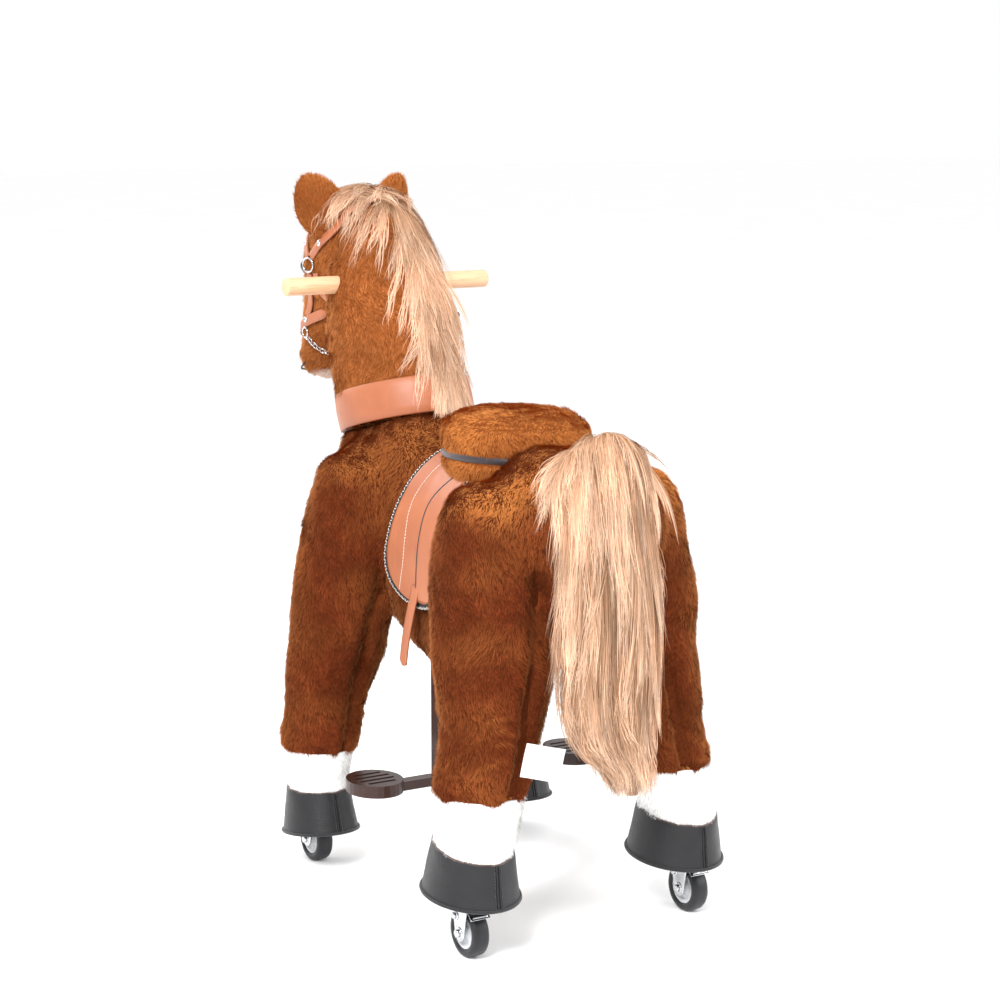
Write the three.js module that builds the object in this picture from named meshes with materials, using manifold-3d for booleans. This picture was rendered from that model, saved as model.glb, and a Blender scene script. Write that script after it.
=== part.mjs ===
// Ride-on plush walking horse on four wheels: a steel walking frame inside a stuffed plush coat.
// Millimetres, +Z up. The horse faces -Y and its left side is +X. The floor is Z = 0.
import * as THREE from 'three';
import { mergeVertices } from 'three/addons/utils/BufferGeometryUtils.js';
import Module from 'manifold-3d';

const wasm = await Module();
wasm.setup();

// ---------- driving dimensions ----------
const gap = 0.4; // kept between neighbours that touch
const lengthwiseShift = 70.2; // puts the origin under the middle of the whole horse
const far = 1200; // how far a cutting block or rod reaches

const hingeHeight = 470;
const hingeReach = 150; // each leg hinge lies this far from the middle of the wheelbase
const legInnerFace = 116; // above the belly the legs stay outside this plane, the torso inside it
const legInnerFaceLow = 49; // below the chest the legs may be this close to the middle
const legShoulder = 375; // height where a leg's inner face steps out to legInnerFace
const shaftRadius = 10;
const shaftHalfLength = 117;
const runningClearance = 0.3;
// Each leg shaft carries a crank whose pin runs in the lower rail; the pins come inwards as the legs close.
const crank = {
  reach: 60, drop: 40, armX: 17, armHalf: 5, armWidth: 18, eyeRadius: 10,
  pinRadius: 6, pinHalf: 22, pinTravel: 8.7,
};
const yoke = { cheekX: 55, halfWide: 15, halfLong: 18, plateHalf: 70, plateLow: 20, plateTop: 26 };
const rail = { halfWidth: 8, halfHeight: 12, halfLength: 224, play: 0.5 };
const legTube = { radius: 13, bore: 10, topX: 132, topZ: 489 };
const socket = { radius: 14, bore: 8.4, top: 142 };
const hoofWall = 4.5;
const hoofPlate = { raise: 28, thickness: 6 };

const wheel = { radius: 31, halfWidth: 11, rimRadius: 21, boreRadius: 4.6 };
const fork = { halfGap: 13, cheek: 3, halfLong: 13, crownGap: 2.5, crown: 4, stemRadius: 8 };

const steering = { y: -222, z: 588, lean: THREE.MathUtils.degToRad(15) };
const stem = { radius: 14, headRadius: 21, low: -97, headLow: 160, high: 218 };
const handle = { along: 195, radius: 12, halfLength: 155 };
const headTube = { radius: 20, low: -92, high: -28 };
const collarHeight = 52;
const brakePivot = { x: -70, drop: 24 };

const beam = {
  halfWidth: 20, low: hingeHeight + yoke.plateTop + gap, height: 24, wall: 3, front: -190, rear: 176,
};
const seat = { y: 62, halfWide: 96, halfLong: 108, low: 564, high: 641, board: 8 };
const seatPost = { radius: 15, bore: 12 };
const pedal = {
  barX: 60, barY: -25, barHalfWide: 11, barHalfLong: 7, barWall: 2.5, barLow: 132,
  plateX: 151, plateY: -40, plateTop: 156, plateDepth: 16, halfWide: 36, halfLong: 42,
};
const crossTube = { half: 10, halfLength: 72, wall: 3 };
const plushWall = 16;
const strapHalfWidth = 9;
const strapLength = 92;

// Torso sections from chest to rump: y, half-width, top, bottom.
const torsoSections = [
  [-294, 0.01, 501, 499],
  [-284, 52, 556, 446],
  [-255, 92, 588, 408],
  [-205, 108, 600, 384],
  [-150, 112, 604, 352],
  [-100, 108, 600, 312],
  [-50, 104, 590, 282],
  [0, 104, 580, 274],
  [60, 104, 578, 280],
  [110, 106, 590, 306],
  [160, 110, 606, 350],
  [210, 112, 609, 384],
  [252, 100, 600, 410],
  [284, 64, 570, 452],
  [298, 0.01, 516, 514],
];

// Leg sections from shoulder to fetlock: z, x, y, half-width, half-length.
const legs = {
  front: {
    side: -1,
    wheelX: 151,
    wheelY: -210,
    furLow: 158,
    hoof: { x: 154, y: -190, low: 49, height: 58, tilt: 7, slant: 4, halfWide: 49, halfLong: 58 },
    sections: [
      [568, 118, -168, 0.01, 0.01],
      [552, 114, -168, 38, 42],
      [510, 108, -168, 62, 66],
      [450, 106, -172, 73, 72],
      [390, 113, -178, 71, 70],
      [330, 124, -184, 66, 66],
      [270, 135, -190, 60, 60],
      [220, 142, -197, 54, 55],
      [175, 150, -196, 48, 53],
      [120, 153, -193, 46, 51],
      [100, 154, -192, 0.01, 0.01],
    ],
  },
  rear: {
    side: 1,
    wheelX: 162,
    wheelY: 221,
    furLow: 192,
    hoof: { x: 151, y: 204, low: 68, height: 64, tilt: 5, slant: 6, halfWide: 57, halfLong: 69 },
    sections: [
      [573, 114, 170, 0.01, 0.01],
      [556, 108, 170, 40, 48],
      [510, 102, 170, 64, 74],
      [450, 98, 173, 75, 84],
      [390, 101, 181, 75, 79],
      [330, 111, 190, 69, 73],
      [270, 120, 200, 63, 67],
      [220, 131, 206, 57, 62],
      [175, 142, 206, 53, 60],
      [130, 149, 205, 51, 58],
      [110, 150, 205, 0.01, 0.01],
    ],
  },
};

// Neck and head sections: y, z, half-width, half-depth across the path.
const neckSections = [
  [-190, 520, 0.01, 0.01],
  [-200, 535, 84, 100],
  [-222, 600, 82, 104],
  [-240, 660, 76, 99],
  [-254, 712, 69, 93],
  [-277, 770, 61, 82],
  [-303, 825, 55, 68],
  [-320, 862, 44, 44],
  [-328, 880, 0.01, 0.01],
];
const headSections = [
  [-280, 872, 0.01, 0.01],
  [-296, 866, 34, 26],
  [-340, 838, 59, 56],
  [-385, 795, 60, 64],
  [-414, 748, 50, 55],
  [-434, 703, 43, 46],
  [-447, 668, 42, 41],
  [-455, 646, 33, 32],
  [-460, 632, 0.01, 0.01],
];
const maneSections = [
  [-4, -405, 866, 0.01, 0.01],
  [-5, -390, 880, 24, 20],
  [-6, -345, 888, 36, 32],
  [-10, -292, 872, 40, 38],
  [-20, -242, 826, 44, 36],
  [-28, -209, 765, 50, 34],
  [-34, -185, 700, 50, 30],
  [-36, -165, 645, 36, 20],
  [-36, -155, 618, 0.01, 0.01],
];
const tailSections = [
  [6, 262, 630, 0.01, 0.01],
  [8, 270, 620, 34, 18],
  [14, 296, 590, 62, 24],
  [14, 314, 525, 68, 27],
  [12, 321, 430, 66, 27],
  [20, 321, 340, 64, 26],
  [24, 320, 262, 54, 22],
  [24, 318, 218, 36, 14],
  [24, 317, 204, 0.01, 0.01],
];

// ---------- materials ----------
const finish = (color, roughness, metalness = 0) =>
  new THREE.MeshStandardMaterial({ color, roughness, metalness });
const materials = {
  plush: finish(0x8a4518, 0.95),
  hair: finish(0xd9b48a, 0.85),
  sock: finish(0xf3f1ec, 0.95),
  hoof: finish(0x1d1d1f, 0.55),
  leather: finish(0xc77a48, 0.55),
  felt: finish(0x1a1a1a, 0.95),
  wood: finish(0xe6c594, 0.6),
  steel: finish(0x2a2a2c, 0.5, 0.6),
  chrome: finish(0xd5d7da, 0.2, 1),
  tyre: finish(0x2b2c2e, 0.7),
  hub: finish(0xb9bcc0, 0.35, 0.9),
  plastic: finish(0x3a1f18, 0.45),
};

// ---------- solids ----------
function solidOf(geometry) {
  const bare = geometry.index ? geometry.toNonIndexed() : geometry.clone();
  bare.deleteAttribute('normal');
  bare.deleteAttribute('uv');
  const merged = mergeVertices(bare, 1e-4);
  return new wasm.Manifold(new wasm.Mesh({
    numProp: 3,
    vertProperties: new Float32Array(merged.attributes.position.array),
    triVerts: new Uint32Array(merged.index.array),
  }));
}

function geometryOf(solid) {
  const { vertProperties, triVerts } = solid.getMesh();
  const geometry = new THREE.BufferGeometry();
  geometry.setAttribute('position', new THREE.BufferAttribute(new Float32Array(vertProperties), 3));
  geometry.setIndex(new THREE.BufferAttribute(new Uint32Array(triVerts), 1));
  geometry.computeVertexNormals();
  return geometry;
}

const block = (x0, x1, y0, y1, z0, z1) => solidOf(new THREE.BoxGeometry(x1 - x0, y1 - y0, z1 - z0)
  .translate((x0 + x1) / 2, (y0 + y1) / 2, (z0 + z1) / 2));

// A round bar from one point to another.
function rod(from, to, radius, sides = 16) {
  const a = new THREE.Vector3(...from);
  const b = new THREE.Vector3(...to);
  const geometry = new THREE.CylinderGeometry(radius, radius, a.distanceTo(b), sides);
  const turn = new THREE.Quaternion()
    .setFromUnitVectors(new THREE.Vector3(0, 1, 0), b.clone().sub(a).normalize());
  geometry.applyQuaternion(turn).translate(...a.add(b).multiplyScalar(0.5).toArray());
  return solidOf(geometry);
}

// Sweeps a sphere's rings through sections, each [x, y, z, half-width, half-depth], and rounds both ends.
function loft(sections, { across, squareness = 2, grow = 0, sides = 18, rings = 14 }) {
  const path = new THREE.CatmullRomCurve3(sections.map(([x, y, z]) => new THREE.Vector3(x, y, z)));
  const sizes = new THREE.CatmullRomCurve3(sections.map((s) => new THREE.Vector3(s[3], s[4], 0)));
  const geometry = new THREE.SphereGeometry(1, sides, rings);
  const { position } = geometry.attributes;
  const sideways = new THREE.Vector3(1, 0, 0);
  for (let i = 0; i < position.count; i += 1) {
    const ring = Math.floor(i / (sides + 1));
    const angle = ((i % (sides + 1)) / sides) * 2 * Math.PI;
    const t = ring / rings;
    const isPole = ring === 0 || ring === rings;
    const centre = path.getPoint(t);
    const size = sizes.getPoint(t);
    const ahead = path.getTangent(t);
    const depthways = across
      ? new THREE.Vector3(...across)
      : new THREE.Vector3().crossVectors(ahead, sideways);
    const power = 2 / squareness;
    const wide = isPole ? 0 : Math.sign(Math.cos(angle)) * Math.abs(Math.cos(angle)) ** power;
    const deep = isPole ? 0 : Math.sign(Math.sin(angle)) * Math.abs(Math.sin(angle)) ** power;
    const endGrow = ring === 0 ? -grow : grow;
    const point = centre
      .addScaledVector(sideways, wide * (Math.max(size.x, 0.5) + grow))
      .addScaledVector(depthways.normalize(), deep * (Math.max(size.y, 0.5) + grow));
    if (isPole) point.addScaledVector(ahead, endGrow);
    position.setXYZ(i, point.x, point.y, point.z);
  }
  const solid = solidOf(geometry);
  if (solid.volume() > 0) return solid;
  const { vertProperties, triVerts } = solid.getMesh();
  const flipped = new Uint32Array(triVerts).reverse();
  return new wasm.Manifold(new wasm.Mesh({ numProp: 3, vertProperties, triVerts: flipped }));
}

const mirrored = (solid, side) => (side > 0 ? solid : solid.mirror([1, 0, 0]));
const largest = (solid) => solid.decompose().sort((a, b) => b.volume() - a.volume())[0];
const alongSteering = (distance, x = 0) => [
  x,
  steering.y - Math.sin(steering.lean) * distance,
  steering.z + Math.cos(steering.lean) * distance,
];

// The half-space above the steering plane, raised along the steering axis.
function aboveSteering(raise) {
  const geometry = new THREE.BoxGeometry(far, far, far).translate(0, 0, far / 2 + raise);
  return solidOf(geometry.rotateX(steering.lean).translate(0, steering.y, steering.z));
}

function torso(grow) {
  const sections = torsoSections.map(([y, halfWidth, top, bottom]) =>
    [0, y, (top + bottom) / 2, halfWidth, (top - bottom) / 2]);
  return loft(sections, { across: [0, 0, 1], squareness: 2.4, grow, sides: 20, rings: 20 });
}

const headAndNeck = (grow) => loft(neckSections.map(([y, z, a, b]) => [0, y, z, a, b]), { grow })
  .add(loft(headSections.map(([y, z, a, b]) => [0, y, z, a, b]), { grow }));

// The cushion's own outline, also used for the hollow that the coat leaves for it.
function seatOval(grow, low, high) {
  const profile = new THREE.Shape();
  const corner = 14;
  const radius = 100 + grow;
  profile.moveTo(0, low);
  profile.lineTo(radius - corner, low);
  profile.quadraticCurveTo(radius, low, radius, low + corner);
  profile.lineTo(radius, high - 2 * corner);
  profile.quadraticCurveTo(radius - 2, high - corner / 3, radius - 3 * corner, high);
  profile.lineTo(0, high);
  const lathe = new THREE.LatheGeometry(profile.getPoints(3), 26).rotateX(Math.PI / 2);
  const widen = (seat.halfWide + grow) / radius;
  const lengthen = (seat.halfLong + grow) / radius;
  return solidOf(lathe.scale(widen, lengthen, 1).translate(0, seat.y, 0));
}

// ---------- the scene ----------
const horse = new THREE.Group();
horse.position.y = lengthwiseShift;

function place(name, solid, material) {
  const mesh = new THREE.Mesh(geometryOf(solid), material);
  mesh.name = name;
  horse.add(mesh);
}

const sides = [['left', 1], ['right', -1]];

// ---------- walking frame ----------
function pivotYoke(y) {
  const { halfWide, halfLong, cheekX, plateHalf, plateLow, plateTop } = yoke;
  const z = hingeHeight;
  const cheek = (x) => rod([x - halfWide, y, z], [x + halfWide, y, z], halfLong)
    .add(block(x - halfWide, x + halfWide, y - halfLong, y + halfLong, z, z + plateLow + 2));
  const plate = block(-plateHalf, plateHalf, y - halfLong, y + halfLong, z + plateLow, z + plateTop);
  return cheek(-cheekX).add(cheek(cheekX)).add(plate)
    .subtract(rod([-far, y, z], [far, y, z], shaftRadius + runningClearance));
}

function crankShaft(side) {
  const y = side * hingeReach;
  const pinY = side * (hingeReach + crank.reach);
  const pinZ = hingeHeight - crank.drop;
  let solid = rod([-shaftHalfLength, y, hingeHeight], [shaftHalfLength, y, hingeHeight], shaftRadius);
  const slope = Math.atan2(crank.drop, crank.reach);
  const length = Math.hypot(crank.drop, crank.reach);
  for (const x of [-crank.armX, crank.armX]) {
    const arm = new THREE.BoxGeometry(2 * crank.armHalf, length, crank.armWidth).rotateX(-side * slope);
    solid = solid.add(solidOf(arm.translate(x, (y + pinY) / 2, (hingeHeight + pinZ) / 2)));
    solid = solid.add(rod([x - crank.armHalf, pinY, pinZ], [x + crank.armHalf, pinY, pinZ], crank.eyeRadius));
  }
  return solid.add(rod([-crank.pinHalf, pinY, pinZ], [crank.pinHalf, pinY, pinZ], crank.pinRadius));
}

const chassisBeam = block(-beam.halfWidth, beam.halfWidth, beam.front, beam.rear,
  beam.low, beam.low + beam.height)
  .subtract(block(-beam.halfWidth + beam.wall, beam.halfWidth - beam.wall, -far, far,
    beam.low + beam.wall, beam.low + beam.height - beam.wall))
  .subtract(rod(alongSteering(-200), alongSteering(50), headTube.radius + gap));
place('backbone_beam', chassisBeam, materials.steel);
place('front_pivot_yoke', pivotYoke(-hingeReach), materials.steel);
place('rear_pivot_yoke', pivotYoke(hingeReach), materials.steel);
place('steering_head_tube', rod(alongSteering(headTube.low), alongSteering(headTube.high), headTube.radius)
  .subtract(rod(alongSteering(-150), alongSteering(50), stem.radius + runningClearance)), materials.steel);
place('front_crank_shaft', crankShaft(-1), materials.chrome);
place('rear_crank_shaft', crankShaft(1), materials.chrome);

// ---------- pedal frame ----------
function lowerRail() {
  const z = hingeHeight - crank.drop;
  const across = rail.halfWidth + 2;
  const slotHalf = crank.pinRadius + rail.play;
  let solid = block(-rail.halfWidth, rail.halfWidth, -rail.halfLength, rail.halfLength,
    z - rail.halfHeight, z + rail.halfHeight);
  for (const side of [-1, 1]) {
    const pinY = side * (hingeReach + crank.reach);
    const innerY = pinY - side * (crank.pinTravel + rail.play);
    const [y0, y1] = [Math.min(pinY, innerY), Math.max(pinY, innerY)];
    solid = solid
      .subtract(rod([-across, pinY, z], [across, pinY, z], slotHalf))
      .subtract(rod([-across, innerY, z], [across, innerY, z], slotHalf))
      .subtract(block(-across, across, y0, y1, z - slotHalf, z + slotHalf));
  }
  return solid;
}

const crossTop = hingeHeight - crank.drop - rail.halfHeight - gap;
const crossLow = crossTop - 2 * crossTube.half;

function pedalCrossTube() {
  const { half, halfLength, wall } = crossTube;
  const bore = half - wall;
  return block(-halfLength, halfLength, -half, half, crossLow, crossTop)
    .subtract(block(-far, far, -bore, bore, crossLow + wall, crossTop - wall))
    .translate(0, pedal.barY, 0);
}

function pedalBar(side) {
  const { barHalfWide, barHalfLong, barWall, barLow } = pedal;
  const top = crossLow - gap;
  const boreX = barHalfWide - barWall;
  const boreY = barHalfLong - barWall;
  return block(-barHalfWide, barHalfWide, -barHalfLong, barHalfLong, barLow, top)
    .subtract(block(-boreX, boreX, -boreY, boreY, barLow - 1, top + 1))
    .translate(side * pedal.barX, pedal.barY, 0);
}

// A shallow oval tray with an arm to its bar and four slots through its tread.
function footPedal(side) {
  const { plateX, plateY, plateTop, plateDepth, halfWide, halfLong, barY } = pedal;
  const oval = (grow, low, high) => solidOf(new THREE.CylinderGeometry(1, 1, high - low, 28)
    .rotateX(Math.PI / 2)
    .scale(halfWide + grow, halfLong + grow, 1)
    .translate(plateX, plateY, (high + low) / 2));
  const armStart = pedal.barX + pedal.barHalfWide + gap;
  let solid = oval(0, plateTop - plateDepth, plateTop)
    .subtract(oval(-4, 0, plateTop - 5))
    .add(block(armStart, plateX - halfWide + 12, barY - 9, barY + 9, plateTop - plateDepth, plateTop - 4));
  for (const y of [-21, -7, 7, 21]) {
    const reach = 27 - Math.abs(y) * 0.35;
    solid = solid.subtract(block(plateX - reach, plateX + reach, plateY + y - 3, plateY + y + 3, 0, far));
  }
  return mirrored(solid, side);
}

place('lower_rail', lowerRail(), materials.steel);
place('pedal_cross_tube', pedalCrossTube(), materials.steel);
for (const [side, sign] of sides) {
  place(`pedal_bar_${side}`, pedalBar(sign), materials.steel);
  place(`pedal_${side}`, footPedal(sign), materials.plastic);
}

// ---------- legs and casters ----------
const legTop = (leg) => [legTube.topX, leg.side * hingeReach, hingeHeight];
const tubeFoot = (leg) => [leg.wheelX, leg.wheelY, socket.top - 20];
const plateLow = (leg) => leg.hoof.low + hoofPlate.raise;
const plateTop = (leg) => plateLow(leg) + hoofPlate.thickness;

// A leg's tube and the upright socket at its foot, as one solid bar.
function legCore(leg, grow) {
  const top = new THREE.Vector3(...legTop(leg));
  const foot = new THREE.Vector3(...tubeFoot(leg));
  const beyond = top.clone().sub(foot).normalize();
  const head = top.clone().addScaledVector(beyond, legTube.topZ - hingeHeight + grow);
  const upright = [[leg.wheelX, leg.wheelY, plateLow(leg) + gap], [leg.wheelX, leg.wheelY, socket.top]];
  return rod(head.toArray(), foot.toArray(), legTube.radius + grow)
    .add(rod(...upright, socket.radius + grow));
}

function legFrameTube(leg) {
  const top = new THREE.Vector3(...legTop(leg));
  const foot = new THREE.Vector3(...tubeFoot(leg));
  const beyond = top.clone().addScaledVector(top.clone().sub(foot), 0.2);
  return legCore(leg, 0)
    .subtract(rod(beyond.toArray(), foot.toArray(), legTube.bore, 16))
    .subtract(rod([leg.wheelX, leg.wheelY, 0], [leg.wheelX, leg.wheelY, socket.top - 4], socket.bore, 16));
}

const legCoatOuter = (leg, grow) => loft(leg.sections.map(([z, x, y, a, b]) => [x, y, z, a, b]),
  { across: [0, 1, 0], grow, sides: 16, rings: 14 });

function legCoat(leg) {
  const y = leg.side * hingeReach;
  const hinge = rod([0, y, hingeHeight], [shaftHalfLength + 1, y, hingeHeight], shaftRadius + 1);
  return largest(legCoatOuter(leg, 0)
    .subtract(block(-far, legInnerFace, -far, far, legShoulder, far))
    .subtract(block(-far, legInnerFaceLow, -far, far, -far, far))
    .subtract(block(-far, far, -far, far, -far, leg.furLow))
    .subtract(legCore(leg, 1))
    .subtract(hinge));
}

// A hoof's oval at a height, widening towards the floor.
function hoofBody(leg, grow, low, high) {
  const { hoof } = leg;
  const flare = 0.16;
  const at = (z) => 1 - flare * ((z - hoof.low) / hoof.height);
  const geometry = new THREE.CylinderGeometry(1, 1, high - low, 20, 1).rotateX(Math.PI / 2);
  const { position } = geometry.attributes;
  for (let i = 0; i < position.count; i += 1) {
    const z = position.getZ(i) + (high + low) / 2;
    const wide = hoof.halfWide * at(z) + grow;
    const long = hoof.halfLong * at(z) + grow;
    position.setXYZ(i, position.getX(i) * wide, position.getY(i) * long, z - hoof.low);
  }
  geometry.rotateX(-leg.side * THREE.MathUtils.degToRad(hoof.tilt));
  return solidOf(geometry.translate(hoof.x, hoof.y, hoof.low));
}

function hoofCup(leg) {
  const { hoof } = leg;
  const top = hoof.low + hoof.height + 2 * hoof.slant;
  const slope = -leg.side * THREE.MathUtils.degToRad(hoof.tilt) - Math.atan2(hoof.slant, hoof.halfLong);
  const trim = solidOf(new THREE.BoxGeometry(far, far, far).translate(0, 0, far / 2).rotateX(slope)
    .translate(hoof.x, hoof.y, hoof.low + hoof.height));
  return hoofBody(leg, 0, hoof.low, top)
    .subtract(hoofBody(leg, -hoofWall, hoof.low - 1, plateLow(leg)))
    .subtract(hoofBody(leg, -hoofWall, plateTop(leg), top + 1))
    .subtract(rod([leg.wheelX, leg.wheelY, 0], [leg.wheelX, leg.wheelY, 200], socket.radius + 1))
    .subtract(trim);
}

function sock(leg) {
  return hoofBody(leg, -hoofWall - 0.6, plateTop(leg) + gap, leg.furLow + 20)
    .subtract(block(-far, far, -far, far, leg.furLow - gap, far))
    .subtract(legCore(leg, 1));
}

// The fork's crown, two cheeks, swivel stem and the axle bolt through it.
function casterFork(leg) {
  const crownTop = wheel.radius * 2 + fork.crownGap + fork.crown;
  const outer = fork.halfGap + fork.cheek;
  const cheek = (x) => block(x, x + fork.cheek, -fork.halfLong, fork.halfLong, wheel.radius, crownTop)
    .add(rod([x, 0, wheel.radius], [x + fork.cheek, 0, wheel.radius], fork.halfLong));
  return cheek(-outer).add(cheek(fork.halfGap))
    .add(block(-outer, outer, -fork.halfLong, fork.halfLong, crownTop - fork.crown, crownTop))
    .add(rod([0, 0, crownTop - 1], [0, 0, socket.top - 8], fork.stemRadius, 16))
    .add(rod([-outer - 4, 0, wheel.radius], [outer + 4, 0, wheel.radius],
      wheel.boreRadius - runningClearance, 16))
    .translate(leg.wheelX, leg.wheelY, 0);
}

function ringAround(profile, leg) {
  const shape = new THREE.Shape(profile.map(([r, x]) => new THREE.Vector2(r, x)));
  const points = [...shape.getPoints(), shape.getPoints()[0]];
  const turned = () => solidOf(new THREE.LatheGeometry(points, 20).rotateZ(Math.PI / 2));
  const solid = turned();
  if (solid.volume() > 0) return solid.translate(leg.wheelX, leg.wheelY, wheel.radius);
  points.reverse();
  return turned().translate(leg.wheelX, leg.wheelY, wheel.radius);
}
const wheelTyre = (leg) => ringAround([
  [wheel.rimRadius + gap, -wheel.halfWidth + 1],
  [wheel.radius - 3, -wheel.halfWidth + 1],
  [wheel.radius, -wheel.halfWidth + 6],
  [wheel.radius, wheel.halfWidth - 6],
  [wheel.radius - 3, wheel.halfWidth - 1],
  [wheel.rimRadius + gap, wheel.halfWidth - 1],
], leg);
const wheelHub = (leg) => ringAround([
  [wheel.boreRadius, -wheel.halfWidth],
  [9, -wheel.halfWidth],
  [12, -4],
  [wheel.rimRadius - 3, -wheel.halfWidth + 3],
  [wheel.rimRadius, -wheel.halfWidth + 1],
  [wheel.rimRadius, wheel.halfWidth - 1],
  [wheel.rimRadius - 3, wheel.halfWidth - 3],
  [12, 4],
  [9, wheel.halfWidth],
  [wheel.boreRadius, wheel.halfWidth],
], leg);

for (const [end, leg] of Object.entries(legs)) {
  for (const [side, sign] of sides) {
    const nodes = [
      ['leg_tube', legFrameTube, materials.steel],
      ['leg_plush', legCoat, materials.plush],
      ['sock', sock, materials.sock],
      ['hoof', hoofCup, materials.hoof],
      ['caster_fork', casterFork, materials.chrome],
      ['wheel_hub', wheelHub, materials.hub],
      ['tyre', wheelTyre, materials.tyre],
    ];
    for (const [name, make, material] of nodes) {
      place(`${end}_${side}_${name}`, mirrored(make(leg), sign), material);
    }
  }
}

// ---------- torso, seat and saddle ----------
// The room that the rail needs inside the coat, from its lowest to its highest place.
const railRoom = block(-rail.halfWidth - 4, rail.halfWidth + 4, -rail.halfLength - 6, rail.halfLength + 6,
  hingeHeight - crank.drop - 34, hingeHeight - crank.drop + 20);
const legWindow = { inner: 46, nearest: 88, top: 398 }; // where the lower legs swing beside the belly

function torsoShell() {
  let solid = torso(0)
    .subtract(torso(-plushWall))
    .subtract(aboveSteering(-gap))
    .subtract(rod(alongSteering(-140), alongSteering(30), headTube.radius + 6))
    .subtract(seatOval(1.5, seat.low - seat.board - 2, far))
    .subtract(rod([0, seat.y, beam.low], [0, seat.y, seat.high], seatPost.radius + 5))
    .subtract(railRoom);
  for (const side of [-1, 1]) {
    const y = side * hingeReach;
    solid = solid.subtract(rod([-far, y, hingeHeight], [far, y, hingeHeight], shaftRadius + 4));
    const [y0, y1] = side < 0 ? [-far, -legWindow.nearest] : [legWindow.nearest, far];
    const x = side * pedal.barX;
    const [wide, long] = [pedal.barHalfWide + 3, pedal.barHalfLong + 3];
    solid = solid
      .subtract(block(legWindow.inner, far, y0, y1, -far, legWindow.top))
      .subtract(block(-far, -legWindow.inner, y0, y1, -far, legWindow.top))
      .subtract(block(x - wide, x + wide, pedal.barY - long, pedal.barY + long, 0, crossTop));
  }
  return largest(solid);
}
place('torso_plush', torsoShell(), materials.plush);

const boardLow = seat.low - gap - seat.board;
const postLow = beam.low + beam.height + gap;
place('seat_post', rod([0, seat.y, postLow], [0, seat.y, boardLow - gap], seatPost.radius)
  .subtract(rod([0, seat.y, 0], [0, seat.y, far], seatPost.bore)), materials.steel);
const board = new THREE.CylinderGeometry(1, 1, seat.board, 24).rotateX(Math.PI / 2)
  .scale(seat.halfWide - 8, seat.halfLong - 8, 1).translate(0, seat.y, boardLow + seat.board / 2);
place('seat_board', solidOf(board), materials.wood);
place('seat_cushion', seatOval(0, seat.low, seat.high), materials.plush);

// Turns an extruded outline so that its x becomes Y, its y becomes Z and its depth becomes X.
const asSideView = new THREE.Matrix4().makeBasis(
  new THREE.Vector3(0, 1, 0), new THREE.Vector3(0, 0, 1), new THREE.Vector3(1, 0, 0));

// A side flap's outline seen from the side, grown outwards by a margin.
function flapPrism(margin) {
  const shape = new THREE.Shape();
  shape.moveTo(-46 - margin, 600);
  shape.quadraticCurveTo(-50 - margin, 520, -78 - margin, 445);
  shape.bezierCurveTo(-82 - margin, 400, -45 - margin, 386 - margin, 2, 385 - margin);
  shape.bezierCurveTo(48 + margin, 386 - margin, 74 + margin, 410, 74 + margin, 450);
  shape.quadraticCurveTo(76 + margin, 540, 82 + margin, 600);
  shape.closePath();
  const geometry = new THREE.ExtrudeGeometry(shape, { depth: 200, bevelEnabled: false, curveSegments: 8 });
  return solidOf(geometry.applyMatrix4(asSideView));
}

// A sheet of a thickness that lies on the torso within the flap's outline.
function sheetOnTorso(inner, thickness, margin, side) {
  const sheet = torso(inner + thickness).subtract(torso(inner)).intersect(flapPrism(margin))
    .intersect(block(40, far, -far, far, 0, far))
    .subtract(seatOval(1.5, seat.low - seat.board - 2, far));
  return mirrored(largest(sheet), side);
}

// A strap with a rounded end that hangs from the flap and leans forwards.
function girthStrap(side) {
  const outline = new THREE.Shape();
  outline.moveTo(-strapHalfWidth, 0);
  outline.lineTo(strapHalfWidth, 0);
  outline.lineTo(strapHalfWidth, -strapLength);
  outline.absarc(0, -strapLength, strapHalfWidth, 0, Math.PI, true);
  const geometry = new THREE.ExtrudeGeometry(outline, { depth: 3, bevelEnabled: false, curveSegments: 8 })
    .applyMatrix4(asSideView)
    .rotateX(-0.3)
    .translate(legInnerFace - 4.5, 4, 400);
  return mirrored(solidOf(geometry), side);
}

for (const [side, sign] of sides) {
  place(`saddle_pad_${side}`, sheetOnTorso(gap, 3, 0, sign), materials.felt);
  place(`saddle_flap_${side}`, sheetOnTorso(3 + 2 * gap, 3, -7, sign), materials.leather);
  place(`girth_strap_${side}`, girthStrap(sign), materials.leather);
}
place('tail', largest(loft(tailSections, { rings: 16 }).subtract(torso(gap))), materials.hair);

// ---------- head and neck, which turn together ----------
const dowelRod = (radius, halfLength) =>
  rod(alongSteering(handle.along, -halfLength), alongSteering(handle.along, halfLength), radius);

function brakeArm(grow) {
  const [, y, z] = alongSteering(handle.along);
  const pinZ = z - brakePivot.drop;
  const arm = block(brakePivot.x - 5 - grow, -10, y - 8 - grow, y + 2 + grow,
    pinZ - 5 - grow, pinZ + 5 + grow);
  const pin = rod([brakePivot.x, y, pinZ], [brakePivot.x, y + 16 + grow, pinZ], 3 + grow, 12);
  return arm.add(pin);
}

// The pocket that the neck leaves round the lever's eye.
function leverRoom() {
  const [, y, z] = alongSteering(handle.along);
  return rod([brakePivot.x, y, z - brakePivot.drop], [brakePivot.x, y + 16, z - brakePivot.drop], 11);
}

// The stem inside the neck, with the head that holds the handle and the arm that carries the brake lever.
function steeringStem() {
  return rod(alongSteering(stem.low), alongSteering(stem.headLow + 5), stem.radius)
    .add(rod(alongSteering(stem.headLow), alongSteering(stem.high), stem.headRadius))
    .add(brakeArm(0))
    .subtract(dowelRod(handle.radius + gap, far));
}

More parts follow.
